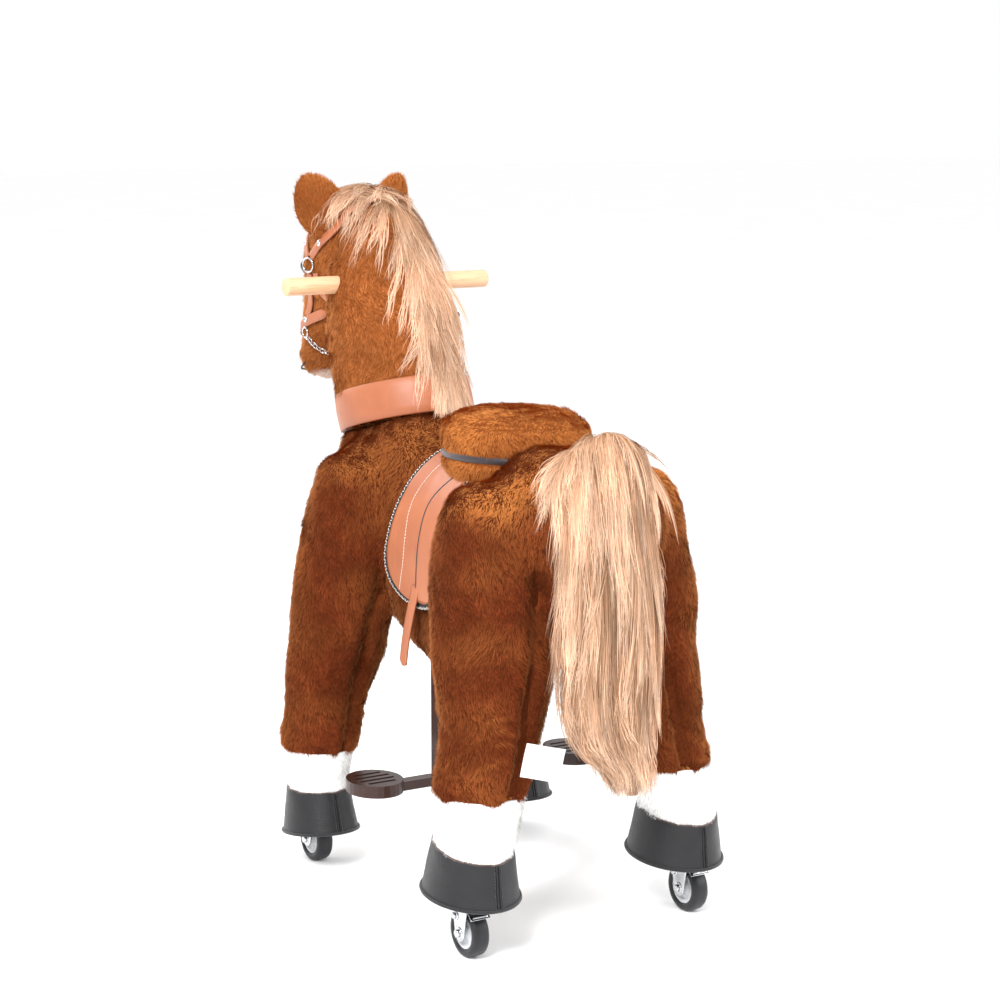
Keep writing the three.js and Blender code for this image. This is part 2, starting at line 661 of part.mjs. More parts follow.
function neckPlush() {
  return largest(headAndNeck(0)
    .intersect(aboveSteering(gap))
    .subtract(rod(alongSteering(-20), alongSteering(stem.high + 2), stem.headRadius + 1))
    .subtract(dowelRod(handle.radius + 1, far))
    .subtract(brakeArm(1))
    .subtract(leverRoom()));
}

function collar() {
  const inner = loft(neckSections.map(([y, z, a, b]) => [0, y, z, a, b]), { grow: gap });
  const outer = loft(neckSections.map(([y, z, a, b]) => [0, y, z, a, b]), { grow: 4 + gap });
  return largest(outer.subtract(inner).intersect(aboveSteering(1)).subtract(aboveSteering(collarHeight)));
}

// A flat slice across the head at a point of its centre line, for a strap that goes round it.
function headSlice(y, z, tilt, halfWidth) {
  const geometry = new THREE.BoxGeometry(300, 300, 2 * halfWidth).rotateX(tilt);
  return solidOf(geometry.translate(0, y, z));
}
function bridle() {
  const shell = headAndNeck(gap + 3).subtract(headAndNeck(gap));
  const noseTilt = THREE.MathUtils.degToRad(22);
  const browTilt = THREE.MathUtils.degToRad(38);
  const cheekLength = Math.hypot(96, 52);
  const cheekStrap = solidOf(new THREE.BoxGeometry(300, 13, cheekLength)
    .rotateX(-Math.atan2(52, 96)).translate(0, -408, 754));
  const straps = headSlice(-432, 708, noseTilt, 7).add(headSlice(-374, 812, browTilt, 7)).add(cheekStrap);
  return largest(shell.intersect(straps).intersect(block(-far, far, -far, -310, 0, far)));
}

const earShape = (grow) => new THREE.SphereGeometry(1, 14, 10).scale(32 + grow, 12 + grow, 48 + grow)
  .rotateY(0.2).rotateZ(-0.45).translate(56, -342, 881);

const ear = (side) => mirrored(largest(solidOf(earShape(0)).subtract(headAndNeck(4.5))), side);

function brakeLever() {
  const [, y, z] = alongSteering(handle.along);
  const thickness = 8;
  const hook = new THREE.Shape();
  hook.moveTo(-7, 6);
  hook.quadraticCurveTo(-22, 4, -30, -12);
  hook.quadraticCurveTo(-33, -22, -40, -22);
  hook.quadraticCurveTo(-44, -28, -38, -31);
  hook.quadraticCurveTo(-26, -33, -22, -18);
  hook.quadraticCurveTo(-16, -7, -7, -6);
  hook.closePath();
  const arm = new THREE.ExtrudeGeometry(hook, { depth: thickness, bevelEnabled: false, curveSegments: 5 })
    .rotateX(Math.PI / 2).translate(0, thickness, 0);
  const x = brakePivot.x;
  const pinZ = z - brakePivot.drop;
  const y0 = y + 3;
  return solidOf(arm.translate(x, y0, pinZ))
    .add(rod([x, y0, pinZ], [x, y0 + thickness, pinZ], 8))
    .subtract(rod([x, y0 - 5, pinZ], [x, y0 + 20, pinZ], 3 + runningClearance, 12));
}

place('head_and_neck_plush', neckPlush(), materials.plush);
place('neck_collar', collar(), materials.leather);
place('steering_stem', steeringStem(), materials.steel);
place('handle_dowel', dowelRod(handle.radius, handle.halfLength), materials.wood);
place('bridle', bridle(), materials.leather);
place('brake_lever', brakeLever(), materials.plastic);
for (const [side, sign] of sides) place(`ear_${side}`, ear(sign), materials.plush);
const earRoom = solidOf(earShape(1));
place('mane', largest(loft(maneSections, { rings: 16 })
  .subtract(headAndNeck(4.5))
  .subtract(earRoom)
  .subtract(earRoom.mirror([1, 0, 0]))
  .subtract(dowelRod(handle.radius + 1, far))
  .intersect(aboveSteering(collarHeight * 0.15))), materials.hair);

export default horse;
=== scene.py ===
"""The looks of the plush ride-on walking horse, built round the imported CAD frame.

Tables are in millimetres, with y measured from the middle of the wheelbase, as in the CAD source.
metres() moves such numbers into the row frame. The horse faces -Y and its left side is +X.
"""
import math

import bmesh
import bpy
import numpy as np
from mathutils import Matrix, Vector
from mathutils.bvhtree import BVHTree


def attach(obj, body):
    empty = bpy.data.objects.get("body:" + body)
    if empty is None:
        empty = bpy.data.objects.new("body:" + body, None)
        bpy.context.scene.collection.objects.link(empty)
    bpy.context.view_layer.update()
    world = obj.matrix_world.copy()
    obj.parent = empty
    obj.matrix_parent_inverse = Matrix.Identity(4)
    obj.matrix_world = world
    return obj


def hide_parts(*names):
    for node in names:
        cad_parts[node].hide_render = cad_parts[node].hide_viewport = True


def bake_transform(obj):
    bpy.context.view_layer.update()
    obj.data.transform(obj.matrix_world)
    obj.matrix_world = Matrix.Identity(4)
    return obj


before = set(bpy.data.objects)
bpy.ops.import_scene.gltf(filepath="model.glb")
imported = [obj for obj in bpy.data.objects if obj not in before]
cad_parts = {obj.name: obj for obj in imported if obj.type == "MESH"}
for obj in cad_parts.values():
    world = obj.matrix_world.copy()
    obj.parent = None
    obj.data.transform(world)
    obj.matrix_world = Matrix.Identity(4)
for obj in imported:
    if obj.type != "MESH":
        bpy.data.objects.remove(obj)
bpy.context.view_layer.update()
scene = bpy.context.scene

SHIFT = 70.2  # the middle of the wheelbase, along Y
SIDES = (("left", 1), ("right", -1))
TAU = 2 * math.pi


def metres(points):
    """Millimetres from the middle of the wheelbase to metres in the row frame."""
    return (np.asarray(points, float) + (0, SHIFT, 0)) / 1000


def millimetres(points):
    """Metres in the row frame to millimetres from the middle of the wheelbase."""
    return np.asarray(points) * 1000 - (0, SHIFT, 0)


# ---------- camera, floor and light ----------
def look(ob, direction):
    ob.rotation_euler = Vector(direction).to_track_quat("-Z", "Y").to_euler()


camera = bpy.data.objects.new("camera", bpy.data.cameras.new("camera"))
scene.collection.objects.link(camera)
camera.data.sensor_width = 36
camera.data.lens = 86.04
camera.location = (1.566, 2.6752, 1.023)
look(camera, (-0.5117, -0.8432, -0.1652))
scene.camera = camera

scene.view_settings.view_transform = "Standard"
scene.world = scene.world or bpy.data.worlds.new("studio")
scene.world.use_nodes = True
scene.world.node_tree.nodes["Background"].inputs["Color"].default_value = (1, 1, 1, 1)
scene.world.node_tree.nodes["Background"].inputs["Strength"].default_value = 1.0


def softbox(name, place, power, size):
    lamp = bpy.data.objects.new(name, bpy.data.lights.new(name, "AREA"))
    lamp.data.energy = power
    lamp.data.size = size
    lamp.location = place
    look(lamp, Vector((0, 0, 0.45)) - Vector(place))
    scene.collection.objects.link(lamp)


softbox("key", (2.3, 1.9, 3.0), 190, 1.4)
softbox("fill", (-2.6, 2.4, 1.8), 75, 2.2)
softbox("front", (0.4, -3.0, 2.2), 70, 2.2)


# ---------- meshes ----------
def add_object(name, mesh):
    ob = bpy.data.objects.new(name, mesh)
    scene.collection.objects.link(ob)
    return ob


def smooth_shaded(mesh):
    mesh.polygons.foreach_set("use_smooth", [True] * len(mesh.polygons))


def mesh_of(name, verts, faces, outward=True):
    mesh = bpy.data.meshes.new(name)
    mesh.from_pydata(np.asarray(verts, float).tolist(), [], [list(map(int, f)) for f in faces])
    if outward:
        shape = bmesh.new()
        shape.from_mesh(mesh)
        bmesh.ops.recalc_face_normals(shape, faces=shape.faces)
        shape.to_mesh(mesh)
        shape.free()
    smooth_shaded(mesh)
    mesh.update()
    return mesh


def unit(v):
    v = np.asarray(v, float)
    return v / np.maximum(np.linalg.norm(v, axis=-1, keepdims=True), 1e-12)


def catmull(points, t):
    """Points and slopes of a Catmull-Rom curve through the rows of points, at each t in 0..1."""
    p = np.asarray(points, float)
    p = np.vstack([2 * p[0] - p[1], p, 2 * p[-1] - p[-2]])
    n = len(p) - 3
    x = np.clip(np.asarray(t, float) * n, 0, n - 1e-9)
    i = x.astype(int)
    u = (x - i)[:, None]
    a, b, c, d = p[i], p[i + 1], p[i + 2], p[i + 3]
    value = 0.5 * (2 * b + (c - a) * u + (2 * a - 5 * b + 4 * c - d) * u**2 + (3 * b - a - 3 * c + d) * u**3)
    slope = 0.5 * ((c - a) + 2 * (2 * a - 5 * b + 4 * c - d) * u + 3 * (3 * b - a - 3 * c + d) * u**2)
    return value, slope


def loft(sections, across=None, squareness=2.0, grow=0.0, sides=56, rings=60, span=(0.0, 1.0)):
    """Rings of points round a path of sections, each [x, y, z, half-width, half-depth]."""
    t = np.linspace(*span, rings)
    value, slope = catmull(sections, t)
    size = np.maximum(value[:, 3:], 0.5) + grow
    ahead = unit(slope[:, :3])
    depth = np.tile(np.array(across, float), (rings, 1)) if across else unit(np.cross(ahead, (1.0, 0, 0)))
    angle = np.arange(sides) / sides * TAU
    power = 2 / squareness
    wide = np.sign(np.cos(angle)) * np.abs(np.cos(angle)) ** power
    deep = np.sign(np.sin(angle)) * np.abs(np.sin(angle)) ** power
    out = value[:, None, :3] + deep[None, :, None] * size[:, 1, None, None] * depth[:, None, :]
    out[:, :, 0] += wide[None, :] * size[:, 0, None]
    return out


def grid_faces(rows, cols, wrap=True, base=0):
    r, c = np.meshgrid(np.arange(rows - 1), np.arange(cols if wrap else cols - 1), indexing="ij")
    right = (c + 1) % cols
    quads = np.stack([r * cols + c, r * cols + right, (r + 1) * cols + right, (r + 1) * cols + c], -1)
    return (quads.reshape(-1, 4) + base).tolist()


def closed(rings):
    """Vertices and faces of a closed skin over rings of points, with a fan at each end."""
    rows, cols = rings.shape[:2]
    verts = np.vstack([rings.reshape(-1, 3), rings[0].mean(0), rings[-1].mean(0)])
    faces = grid_faces(rows, cols)
    first, last = rows * cols, rows * cols + 1
    for c in range(cols):
        d = (c + 1) % cols
        faces.append([first, d, c])
        faces.append([last, (rows - 1) * cols + c, (rows - 1) * cols + d])
    return verts, faces


def looped(rings):
    """Vertices and faces of a skin over rings of points, the last of which joins the first."""
    verts = rings.reshape(-1, 3)
    return verts, [[i % len(verts) for i in f] for f in grid_faces(len(rings) + 1, rings.shape[1])]


def together(parts):
    """Joins (vertices, faces) pairs into one."""
    verts, faces, base = [], [], 0
    for v, f in parts:
        verts.append(np.asarray(v, float))
        faces.extend([[i + base for i in face] for face in f])
        base += len(v)
    return np.vstack(verts), faces


def tube(path, radius, sides=12, loop=False, flat=1.0, normals=None):
    """A swept tube. radius may be one number or one for each point; flat squashes it along the normals."""
    p = np.asarray(path, float)
    ahead = np.roll(p, -1, 0) - np.roll(p, 1, 0)
    if not loop:
        ahead[0], ahead[-1] = p[1] - p[0], p[-1] - p[-2]
    ahead = unit(ahead)
    if normals is None:
        up = np.array((0.13, 0.29, 0.95)) if abs(ahead[:, 2]).mean() < 0.8 else np.array((0.95, 0.29, 0.13))
        normals = up - (ahead @ up)[:, None] * ahead
    n = unit(normals)
    s = unit(np.cross(ahead, n))
    angle = np.arange(sides) / sides * TAU
    r = np.broadcast_to(np.asarray(radius, float), (len(p),))[:, None, None]
    across = np.cos(angle)[None, :, None] * s[:, None]
    rings = p[:, None] + r * (across + flat * np.sin(angle)[None, :, None] * n[:, None])
    return looped(rings) if loop else closed(rings)


def lathe(profile, centre, axis="z", sides=48, loop=True):
    """Turns a profile of (radius, height) about an axis through centre; loop joins its last point to its first."""
    p = np.asarray(profile, float)
    angle = np.arange(sides) / sides * TAU
    r, h = p[:, 0, None], np.broadcast_to(p[:, 1, None], (len(p), sides))
    a, b = r * np.cos(angle), r * np.sin(angle)
    order = {"z": (a, b, h), "x": (h, a, b), "y": (b, h, a)}[axis]
    rings = np.stack(order, -1) + np.asarray(centre, float)
    return looped(rings) if loop else closed(rings)


def modified(ob, kind, **settings):
    """Adds a modifier of a kind to an object, with its settings."""
    modifier = ob.modifiers.new(kind.lower(), kind)
    for key, value in settings.items():
        setattr(modifier, key, value)
    return modifier


def applied(ob):
    """Replaces an object's mesh with what its modifiers make of it."""
    mesh = bpy.data.meshes.new_from_object(ob.evaluated_get(bpy.context.evaluated_depsgraph_get()))
    ob.modifiers.clear()
    ob.data = mesh


def points_of(mesh):
    co = np.empty(len(mesh.vertices) * 3)
    mesh.vertices.foreach_get("co", co)
    return co.reshape(-1, 3)


def normals_of(mesh):
    n = np.empty(len(mesh.vertices) * 3, np.float32)
    mesh.vertex_normals.foreach_get("vector", n)
    return n.reshape(-1, 3).astype(float)


def set_points(mesh, co):
    mesh.vertices.foreach_set("co", np.ascontiguousarray(co, dtype=np.float32).ravel())
    mesh.update()


def tree_of(verts, faces):
    return BVHTree.FromPolygons([tuple(v) for v in np.asarray(verts, float)], faces)


def mesh_tree(mesh):
    return tree_of(points_of(mesh), [tuple(p.vertices) for p in mesh.polygons])


def waves(points, scale, seed, count=20):
    """A smooth random field over space, about -1.5 to 1.5, with features of the given size in metres."""
    rng = np.random.default_rng(seed)
    k = unit(rng.normal(size=(count, 3))) * (TAU / scale) * rng.uniform(0.6, 1.4, (count, 1))
    return np.sin(points @ k.T + rng.uniform(0, TAU, count)).sum(1) * math.sqrt(2 / count)


def step(x, low, high):
    t = np.clip((x - low) / (high - low), 0, 1)
    return t * t * (3 - 2 * t)


# ---------- materials ----------
class Shader:
    """A principled material with helpers that wire one node to the next."""

    def __init__(self, name, roughness=0.5, metallic=0.0, **values):
        self.material = bpy.data.materials.new(name)
        self.material.use_nodes = True
        self.tree = self.material.node_tree
        self.bsdf = self.tree.nodes["Principled BSDF"]
        self.bsdf.inputs["Roughness"].default_value = roughness
        self.bsdf.inputs["Metallic"].default_value = metallic
        for key, value in values.items():
            self.bsdf.inputs[key.replace("_", " ")].default_value = value

    def node(self, kind, values=None, **settings):
        made = self.tree.nodes.new(kind)
        for key, value in settings.items():
            setattr(made, key, value)
        for key, value in (values or {}).items():
            made.inputs[key].default_value = value
        return made

    def wire(self, source, target):
        self.tree.links.new(source, target)

    def coords(self, scale=(1, 1, 1)):
        mapping = self.node("ShaderNodeMapping", {"Scale": scale})
        self.wire(self.node("ShaderNodeTexCoord").outputs["Object"], mapping.inputs["Vector"])
        return mapping.outputs[0]

    def noise(self, size, detail=3.0, roughness=0.55, stretch=(1, 1, 1), distortion=0.0):
        """Noise with features of about the given size in metres."""
        made = self.node("ShaderNodeTexNoise", {"Scale": 1 / size, "Detail": detail, "Roughness": roughness,
                                                "Distortion": distortion})
        self.wire(self.coords(stretch), made.inputs["Vector"])
        return made.outputs["Fac"]

    def cells(self, size):
        made = self.node("ShaderNodeTexVoronoi", {"Scale": 1 / size})
        self.wire(self.coords(), made.inputs["Vector"])
        return made.outputs["Distance"]

    def ramp(self, source, stops):
        """stops: (position, colour), where a colour is three linear numbers or one grey."""
        made = self.node("ShaderNodeValToRGB")
        elements = made.color_ramp.elements
        while len(elements) < len(stops):
            elements.new(0.5)
        for element, (position, colour) in zip(elements, stops):
            element.position = position
            rgb = (colour,) * 3 if isinstance(colour, (int, float)) else colour
            element.color = (*rgb, 1)
        self.wire(source, made.inputs[0])
        return made.outputs[0]

    def mix(self, factor, a, b, mode="MIX"):
        made = self.node("ShaderNodeMix", data_type="RGBA", blend_type=mode)
        for value, index in ((factor, 0), (a, 6), (b, 7)):
            if isinstance(value, bpy.types.NodeSocket):
                self.wire(value, made.inputs[index])
            elif index == 0:
                made.inputs[index].default_value = value
            else:
                rgb = (value,) * 3 if isinstance(value, (int, float)) else value
                made.inputs[index].default_value = (*rgb, 1)
        return made.outputs[2]

    def attribute(self, name):
        made = self.node("ShaderNodeAttribute", attribute_name=name)
        split = self.node("ShaderNodeSeparateColor")
        self.wire(made.outputs["Color"], split.inputs[0])
        return split.outputs

    def colour(self, source):
        self.wire(source, self.bsdf.inputs["Base Color"])

    def rough(self, source, low, high):
        made = self.node("ShaderNodeMapRange", {"To Min": low, "To Max": high})
        self.wire(source, made.inputs["Value"])
        self.wire(made.outputs[0], self.bsdf.inputs["Roughness"])

    def both_faces_alike(self):
        """Shades the front of a strand by its outward normal and its back by its own flat normal."""
        seen = self.node("ShaderNodeNewGeometry")
        turned = self.node("ShaderNodeMix", data_type="VECTOR")
        self.wire(seen.outputs["Backfacing"], turned.inputs[0])
        self.wire(seen.outputs["Normal"], turned.inputs[4])
        self.wire(seen.outputs["True Normal"], turned.inputs[5])
        self.wire(turned.outputs[1], self.bsdf.inputs["Normal"])

    def bump(self, source, depth, strength=0.6):
        made = self.node("ShaderNodeBump", {"Strength": strength, "Distance": depth})
        self.wire(source, made.inputs["Height"])
        self.wire(made.outputs[0], self.bsdf.inputs["Normal"])


def fur_material(name, root, middle, tip, patch_and_light_colour, sheen_tint, sheen=0.55):
    """Strand colour from root to tip, darker at the root as painted shade and lighter at the tip as painted highlight;
    lighter and darker by strand, at random and with painted shade along seams; over broad patches; mixed towards a
    second colour by a pale chin patch on the head and by painted top light on the chestnut pile.
    """
    s = Shader(name, roughness=0.8, Sheen_Weight=sheen, Sheen_Roughness=0.4, Specular_IOR_Level=0.0)
    s.bsdf.inputs["Sheen Tint"].default_value = (*sheen_tint, 1)
    shade, along, patch_and_painted_light = s.attribute("strand")[:3]
    # Painted shade at the root, painted highlight at the tip.
    by_length = s.ramp(along, [(0.0, root), (0.5, middle), (1.0, tip)])
    patches = s.ramp(s.noise(0.05, 2.0), [(0.35, 0.88), (0.65, 1.10)])
    by_strand = s.ramp(shade, [(0.0, 0.42), (0.5, 0.95), (1.0, 1.45)])
    coloured = s.mix(1.0, s.mix(1.0, by_length, by_strand, "MULTIPLY"), patches, "MULTIPLY")
    s.colour(s.mix(patch_and_painted_light, coloured, patch_and_light_colour))
    s.both_faces_alike()
    return s.material


def skin_material(name, dark, light):
    s = Shader(name, roughness=0.9, Specular_IOR_Level=0.0)
    s.colour(s.ramp(s.noise(0.004, 4.0), [(0.3, dark), (0.7, light)]))
    s.bump(s.noise(0.0016, 3.0), 0.0012)
    return s.material


def leather_material(name, base, dark, grain=0.0011, roughness=(0.38, 0.52), depth=0.00022, shine=0.45):
    s = Shader(name, Specular_IOR_Level=shine)
    wear = s.ramp(s.noise(0.06, 4.0), [(0.3, dark), (0.68, base)])
    pores = s.ramp(s.cells(grain), [(0.0, 0.86), (0.45, 1.0)])
    s.colour(s.mix(1.0, wear, pores, "MULTIPLY"))
    s.rough(s.noise(0.01, 3.0), *roughness)
    s.bump(s.mix(0.45, s.cells(grain), s.noise(0.0035, 4.0)), depth)
    return s.material


def metal_material(name, base, roughness):
    s = Shader(name, metallic=1.0)
    s.colour(s.ramp(s.noise(0.012, 3.0), [(0.3, tuple(c * 0.86 for c in base)), (0.7, base)]))
    s.rough(s.noise(0.003, 5.0, stretch=(1, 1, 0.2)), *roughness)
    s.bump(s.noise(0.0008, 3.0), 0.00004, 0.5)
    return s.material


def paint_material(name, base, light, roughness=(0.32, 0.45), depth=0.00006, shine=0.5, coat=0.15):
    s = Shader(name, Specular_IOR_Level=shine, Coat_Weight=coat)
    s.colour(s.ramp(s.noise(0.02, 5.0), [(0.35, base), (0.75, light)]))
    s.rough(s.noise(0.006, 4.0), *roughness)
    s.bump(s.noise(0.0012, 3.0), depth)
    return s.material


def wood_material(name, light, dark, ring=0.0035):
    s = Shader(name, Specular_IOR_Level=0.4)
    grain = s.noise(ring, 4.0, 0.6, stretch=(0.07, 1, 1), distortion=0.6)
    fine = s.noise(0.0007, 3.0, stretch=(0.04, 1, 1))
    colour = s.ramp(grain, [(0.32, dark), (0.5, light), (0.72, tuple(c * 0.93 for c in light))])
    s.colour(s.mix(0.16, colour, s.ramp(fine, [(0.35, dark), (0.65, light)])))
    s.rough(fine, 0.42, 0.58)
    s.bump(fine, 0.00008)
    return s.material


def cloth_material(name, colour, dark, thread=0.0006, roughness=0.85):
    s = Shader(name, roughness=roughness, Sheen_Weight=0.25)
    s.colour(s.ramp(s.noise(0.006, 4.0), [(0.3, dark), (0.7, colour)]))
    weave = s.node("ShaderNodeTexWave", {"Scale": 0.3 / thread, "Distortion": 1.0}, wave_type="BANDS",
                   bands_direction="DIAGONAL")
    s.wire(s.coords(), weave.inputs["Vector"])
    s.bump(weave.outputs["Fac"], 0.00015)
    return s.material


# The root colours are painted shade and the tip colours painted highlight. The chestnut plush's last colour is that of
# its painted top light; the golden plush's is its pale chin.
CHESTNUT = fur_material("chestnut plush", (0.050, 0.0088, 0.0036), (0.108, 0.0205, 0.0070), (0.225, 0.055, 0.017),
                        (0.56, 0.200, 0.050), sheen_tint=(1.0, 0.44, 0.17))
GOLDEN = fur_material("golden plush", (0.135, 0.034, 0.010), (0.285, 0.084, 0.022), (0.48, 0.175, 0.055),
                      (0.90, 0.80, 0.72), sheen_tint=(1.0, 0.50, 0.22))
WHITE_FUR = fur_material("white plush", (0.80, 0.79, 0.77), (0.90, 0.90, 0.89), (0.96, 0.96, 0.96),
                         (0.9, 0.9, 0.9), sheen=0.1, sheen_tint=(1, 1, 1))
BLOND = fur_material("blond hair", (0.20, 0.100, 0.052), (0.42, 0.245, 0.150), (0.62, 0.43, 0.31),
                     (0.9, 0.8, 0.66), sheen=0.1, sheen_tint=(1.0, 0.78, 0.56))
SKIN = skin_material("chestnut backing", (0.052, 0.0115, 0.004), (0.092, 0.0220, 0.0070))
GOLDEN_SKIN = skin_material("golden backing", (0.13, 0.034, 0.009), (0.21, 0.060, 0.014))
WHITE_SKIN = skin_material("white backing", (0.62, 0.60, 0.57), (0.85, 0.84, 0.82))
# The core inside the mane and tail is darker than the hair: painted shade.
BLOND_CORE_SHADE = skin_material("blond backing", (0.20, 0.105, 0.055), (0.34, 0.20, 0.115))
TAN = leather_material("tan leather", (0.400, 0.132, 0.056), (0.325, 0.100, 0.042))
VINYL = leather_material("black grained vinyl", (0.013, 0.013, 0.015), (0.007, 0.007, 0.008), 0.0016,
                         (0.34, 0.50), 0.0009, shine=0.38)
BINDING = cloth_material("black binding", (0.012, 0.012, 0.014), (0.004, 0.004, 0.005))
RAW_EDGE = cloth_material("raw vinyl edge", (0.10, 0.055, 0.045), (0.03, 0.02, 0.018))
SATIN = cloth_material("purple satin piping", (0.020, 0.009, 0.014), (0.008, 0.004, 0.006), roughness=0.6)
BLACK_THREAD = cloth_material("black thread", (0.05, 0.05, 0.055), (0.015, 0.015, 0.016), 0.0003)
WHITE_THREAD = cloth_material("white thread", (0.86, 0.84, 0.80), (0.62, 0.58, 0.52), 0.0003)
LABEL = cloth_material("label satin", (0.76, 0.76, 0.76), (0.68, 0.68, 0.68), 0.0004, 0.6)
WOOD = wood_material("pale wood", (0.70, 0.44, 0.265), (0.56, 0.32, 0.165))
PLY = wood_material("plywood", (0.62, 0.44, 0.26), (0.42, 0.27, 0.14), 0.006)
CHROME = metal_material("chrome", (0.62, 0.63, 0.65), (0.06, 0.20))
STEEL = metal_material("bright steel", (0.55, 0.56, 0.58), (0.25, 0.4))
BLACK_STEEL = paint_material("black painted steel", (0.012, 0.012, 0.013), (0.03, 0.03, 0.032))
HUB = paint_material("silver hub", (0.50, 0.51, 0.53), (0.62, 0.63, 0.65), (0.25, 0.4))
RUBBER = paint_material("grey rubber", (0.010, 0.010, 0.012), (0.018, 0.018, 0.021), (0.35, 0.5), 0.00012, 0.35, 0.0)
PEDAL = paint_material("brown pedal", (0.024, 0.008, 0.005), (0.042, 0.013, 0.008), shine=0.3)
LEVER = paint_material("brown lever", (0.045, 0.026, 0.028), (0.085, 0.052, 0.055))
EYE = paint_material("black eye", (0.004, 0.004, 0.004), (0.010, 0.008, 0.007), (0.04, 0.08), 0.00001)


def dressed(ob, *materials):
    ob.data.materials.clear()
    for material in materials:
        ob.data.materials.append(material)
    return ob


def piece(name, part, material, body, replaces=()):
    """A named visible piece from (vertices, faces) in millimetres."""
    verts, faces = part
    ob = dressed(add_object(name, mesh_of(name, metres(verts), faces)), material)
    return settled(ob, body, replaces)


def settled(ob, body, replaces=()):
    if body:
        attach(ob, body)
    if replaces:
        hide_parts(*replaces)
    return ob


# ---------- hair made of flat strands ----------
DENSITY = 480_000  # strands to the square metre
TUFT = 0.0045  # how wide a tuft of pile is, in metres


def ribbon_mesh(name, centres, sides, normals, widths, shade, patch_and_painted_light, shine=0.7):
    """Tapering ribbons. centres, sides and normals are (strand, point, 3); widths is (strand, point)."""
    count, points = centres.shape[:2]
    ahead = np.gradient(centres, axis=1)
    facing = (np.cross(sides, ahead) * normals).sum(-1).sum(-1)
    half = sides * widths[..., None] / 2 * np.where(facing < 0, -1, 1)[:, None, None]
    body = np.stack([centres[:, :-1] - half[:, :-1], centres[:, :-1] + half[:, :-1]], 2).reshape(count, -1, 3)
    verts = np.concatenate([body, centres[:, -1:]], 1)
    each = verts.shape[1]
    base = np.arange(count)[:, None] * each
    quads = [np.concatenate([base + 2 * i, base + 2 * i + 1, base + 2 * i + 3, base + 2 * i + 2], 1)
             for i in range(points - 2)]
    quads = quads or [np.empty((0, 4), int)]
    tips = np.concatenate([base + each - 3, base + each - 2, base + each - 1], 1)
    loops = np.concatenate([np.concatenate(quads).ravel(), tips.ravel()])
    n_quads = count * (points - 2)
    mesh = bpy.data.meshes.new(name)
    mesh.vertices.add(count * each)
    mesh.vertices.foreach_set("co", verts.astype(np.float32).ravel())
    mesh.loops.add(len(loops))
    mesh.loops.foreach_set("vertex_index", loops.astype(np.int32))
    mesh.polygons.add(n_quads + count)
    starts = np.concatenate([np.arange(n_quads) * 4, n_quads * 4 + np.arange(count) * 3])
    mesh.polygons.foreach_set("loop_start", starts.astype(np.int32))
    mesh.polygons.foreach_set("use_smooth", np.ones(n_quads + count, bool))
    mesh.update(calc_edges=True)
    along = np.linspace(0, 1, points)
    along = np.append(np.repeat(along[:-1], 2), 1.0)
    colour = np.zeros((count, each, 4), np.float32)
    colour[..., 0] = np.clip(shade, 0, 1)[:, None]
    colour[..., 1] = along[None, :]
    colour[..., 2] = np.clip(patch_and_painted_light, 0, 1)[:, None]
    colour[..., 3] = 1
    mesh.attributes.new("strand", "FLOAT_COLOR", "POINT").data.foreach_set("color", colour.ravel())
    lit = np.concatenate([np.repeat(normals[:, :-1], 2, axis=1), normals[:, -1:]], 1).reshape(-1, 3)
    flat = normals_of(mesh)
    flat *= np.sign((flat * lit).sum(1, keepdims=True) + 1e-9)
    mesh.normals_split_custom_set_from_vertices(unit(lit * shine + flat * (1 - shine)).astype(np.float32))
    return mesh


def triangles_of(mesh):
    mesh.calc_loop_triangles()
    t = np.empty(len(mesh.loop_triangles) * 3, np.int32)
    mesh.loop_triangles.foreach_get("vertices", t)
    return t.reshape(-1, 3)


def scattered(mesh, density, rng, keep=None):
    """Random points on a mesh with their normals, so many to the square metre."""
    co, normal, tri = points_of(mesh), normals_of(mesh), triangles_of(mesh)
    a, b, c = co[tri[:, 0]], co[tri[:, 1]], co[tri[:, 2]]
    area = np.linalg.norm(np.cross(b - a, c - a), axis=1) / 2
    count = int(area.sum() * density)
    pick = rng.choice(len(tri), count, p=area / area.sum())
    u, v = rng.random((2, count, 1))
    over = (u + v) > 1
    u, v = np.where(over, 1 - u, u), np.where(over, 1 - v, v)
    p = a[pick] * (1 - u - v) + b[pick] * u + c[pick] * v
    n = unit(normal[tri[pick, 0]] * (1 - u - v) + normal[tri[pick, 1]] * u + normal[tri[pick, 2]] * v)
    if keep is not None:
        rng.random(count)  # drawn only so that the draws after it stay the same
        kept = keep(p, n)
        p, n = p[kept], n[kept]
    return p, n


def gap(points, spots):
    """How far each point is from the nearest spot, in metres, up to 3."""
    nearest = np.full(len(points), 9.0)
    for spot in spots:
        nearest = np.minimum(nearest, ((points - spot) ** 2).sum(1))
    return np.sqrt(nearest)


def distance_to(points, line, samples=50):
    """How far each point is from a line of points in millimetres."""
    return gap(points, catmull(metres(line), np.linspace(0, 1, samples))[0])


def gathered(roots, tips, size, seed):
    """Draws the tips of neighbouring strands together into tufts, and gives each tuft its own random tone."""
    rng = np.random.default_rng(seed + 9)
    warp = np.stack([waves(roots, 0.02, seed + 10 + k, 8) for k in range(3)], 1)
    cell = np.floor((roots + 0.0025 * warp) / size).astype(np.int64)
    _, which = np.unique(cell @ np.array((1, 4099, 16785407)), return_inverse=True)
    which = which.ravel()
    number = np.bincount(which)
    middle = np.stack([np.bincount(which, tips[:, k]) / number for k in range(3)], 1)
    pull = rng.uniform(0.15, 0.5, len(number))[which][:, None]
    return tips + (middle[which] - tips) * pull, rng.normal(size=len(number))[which]


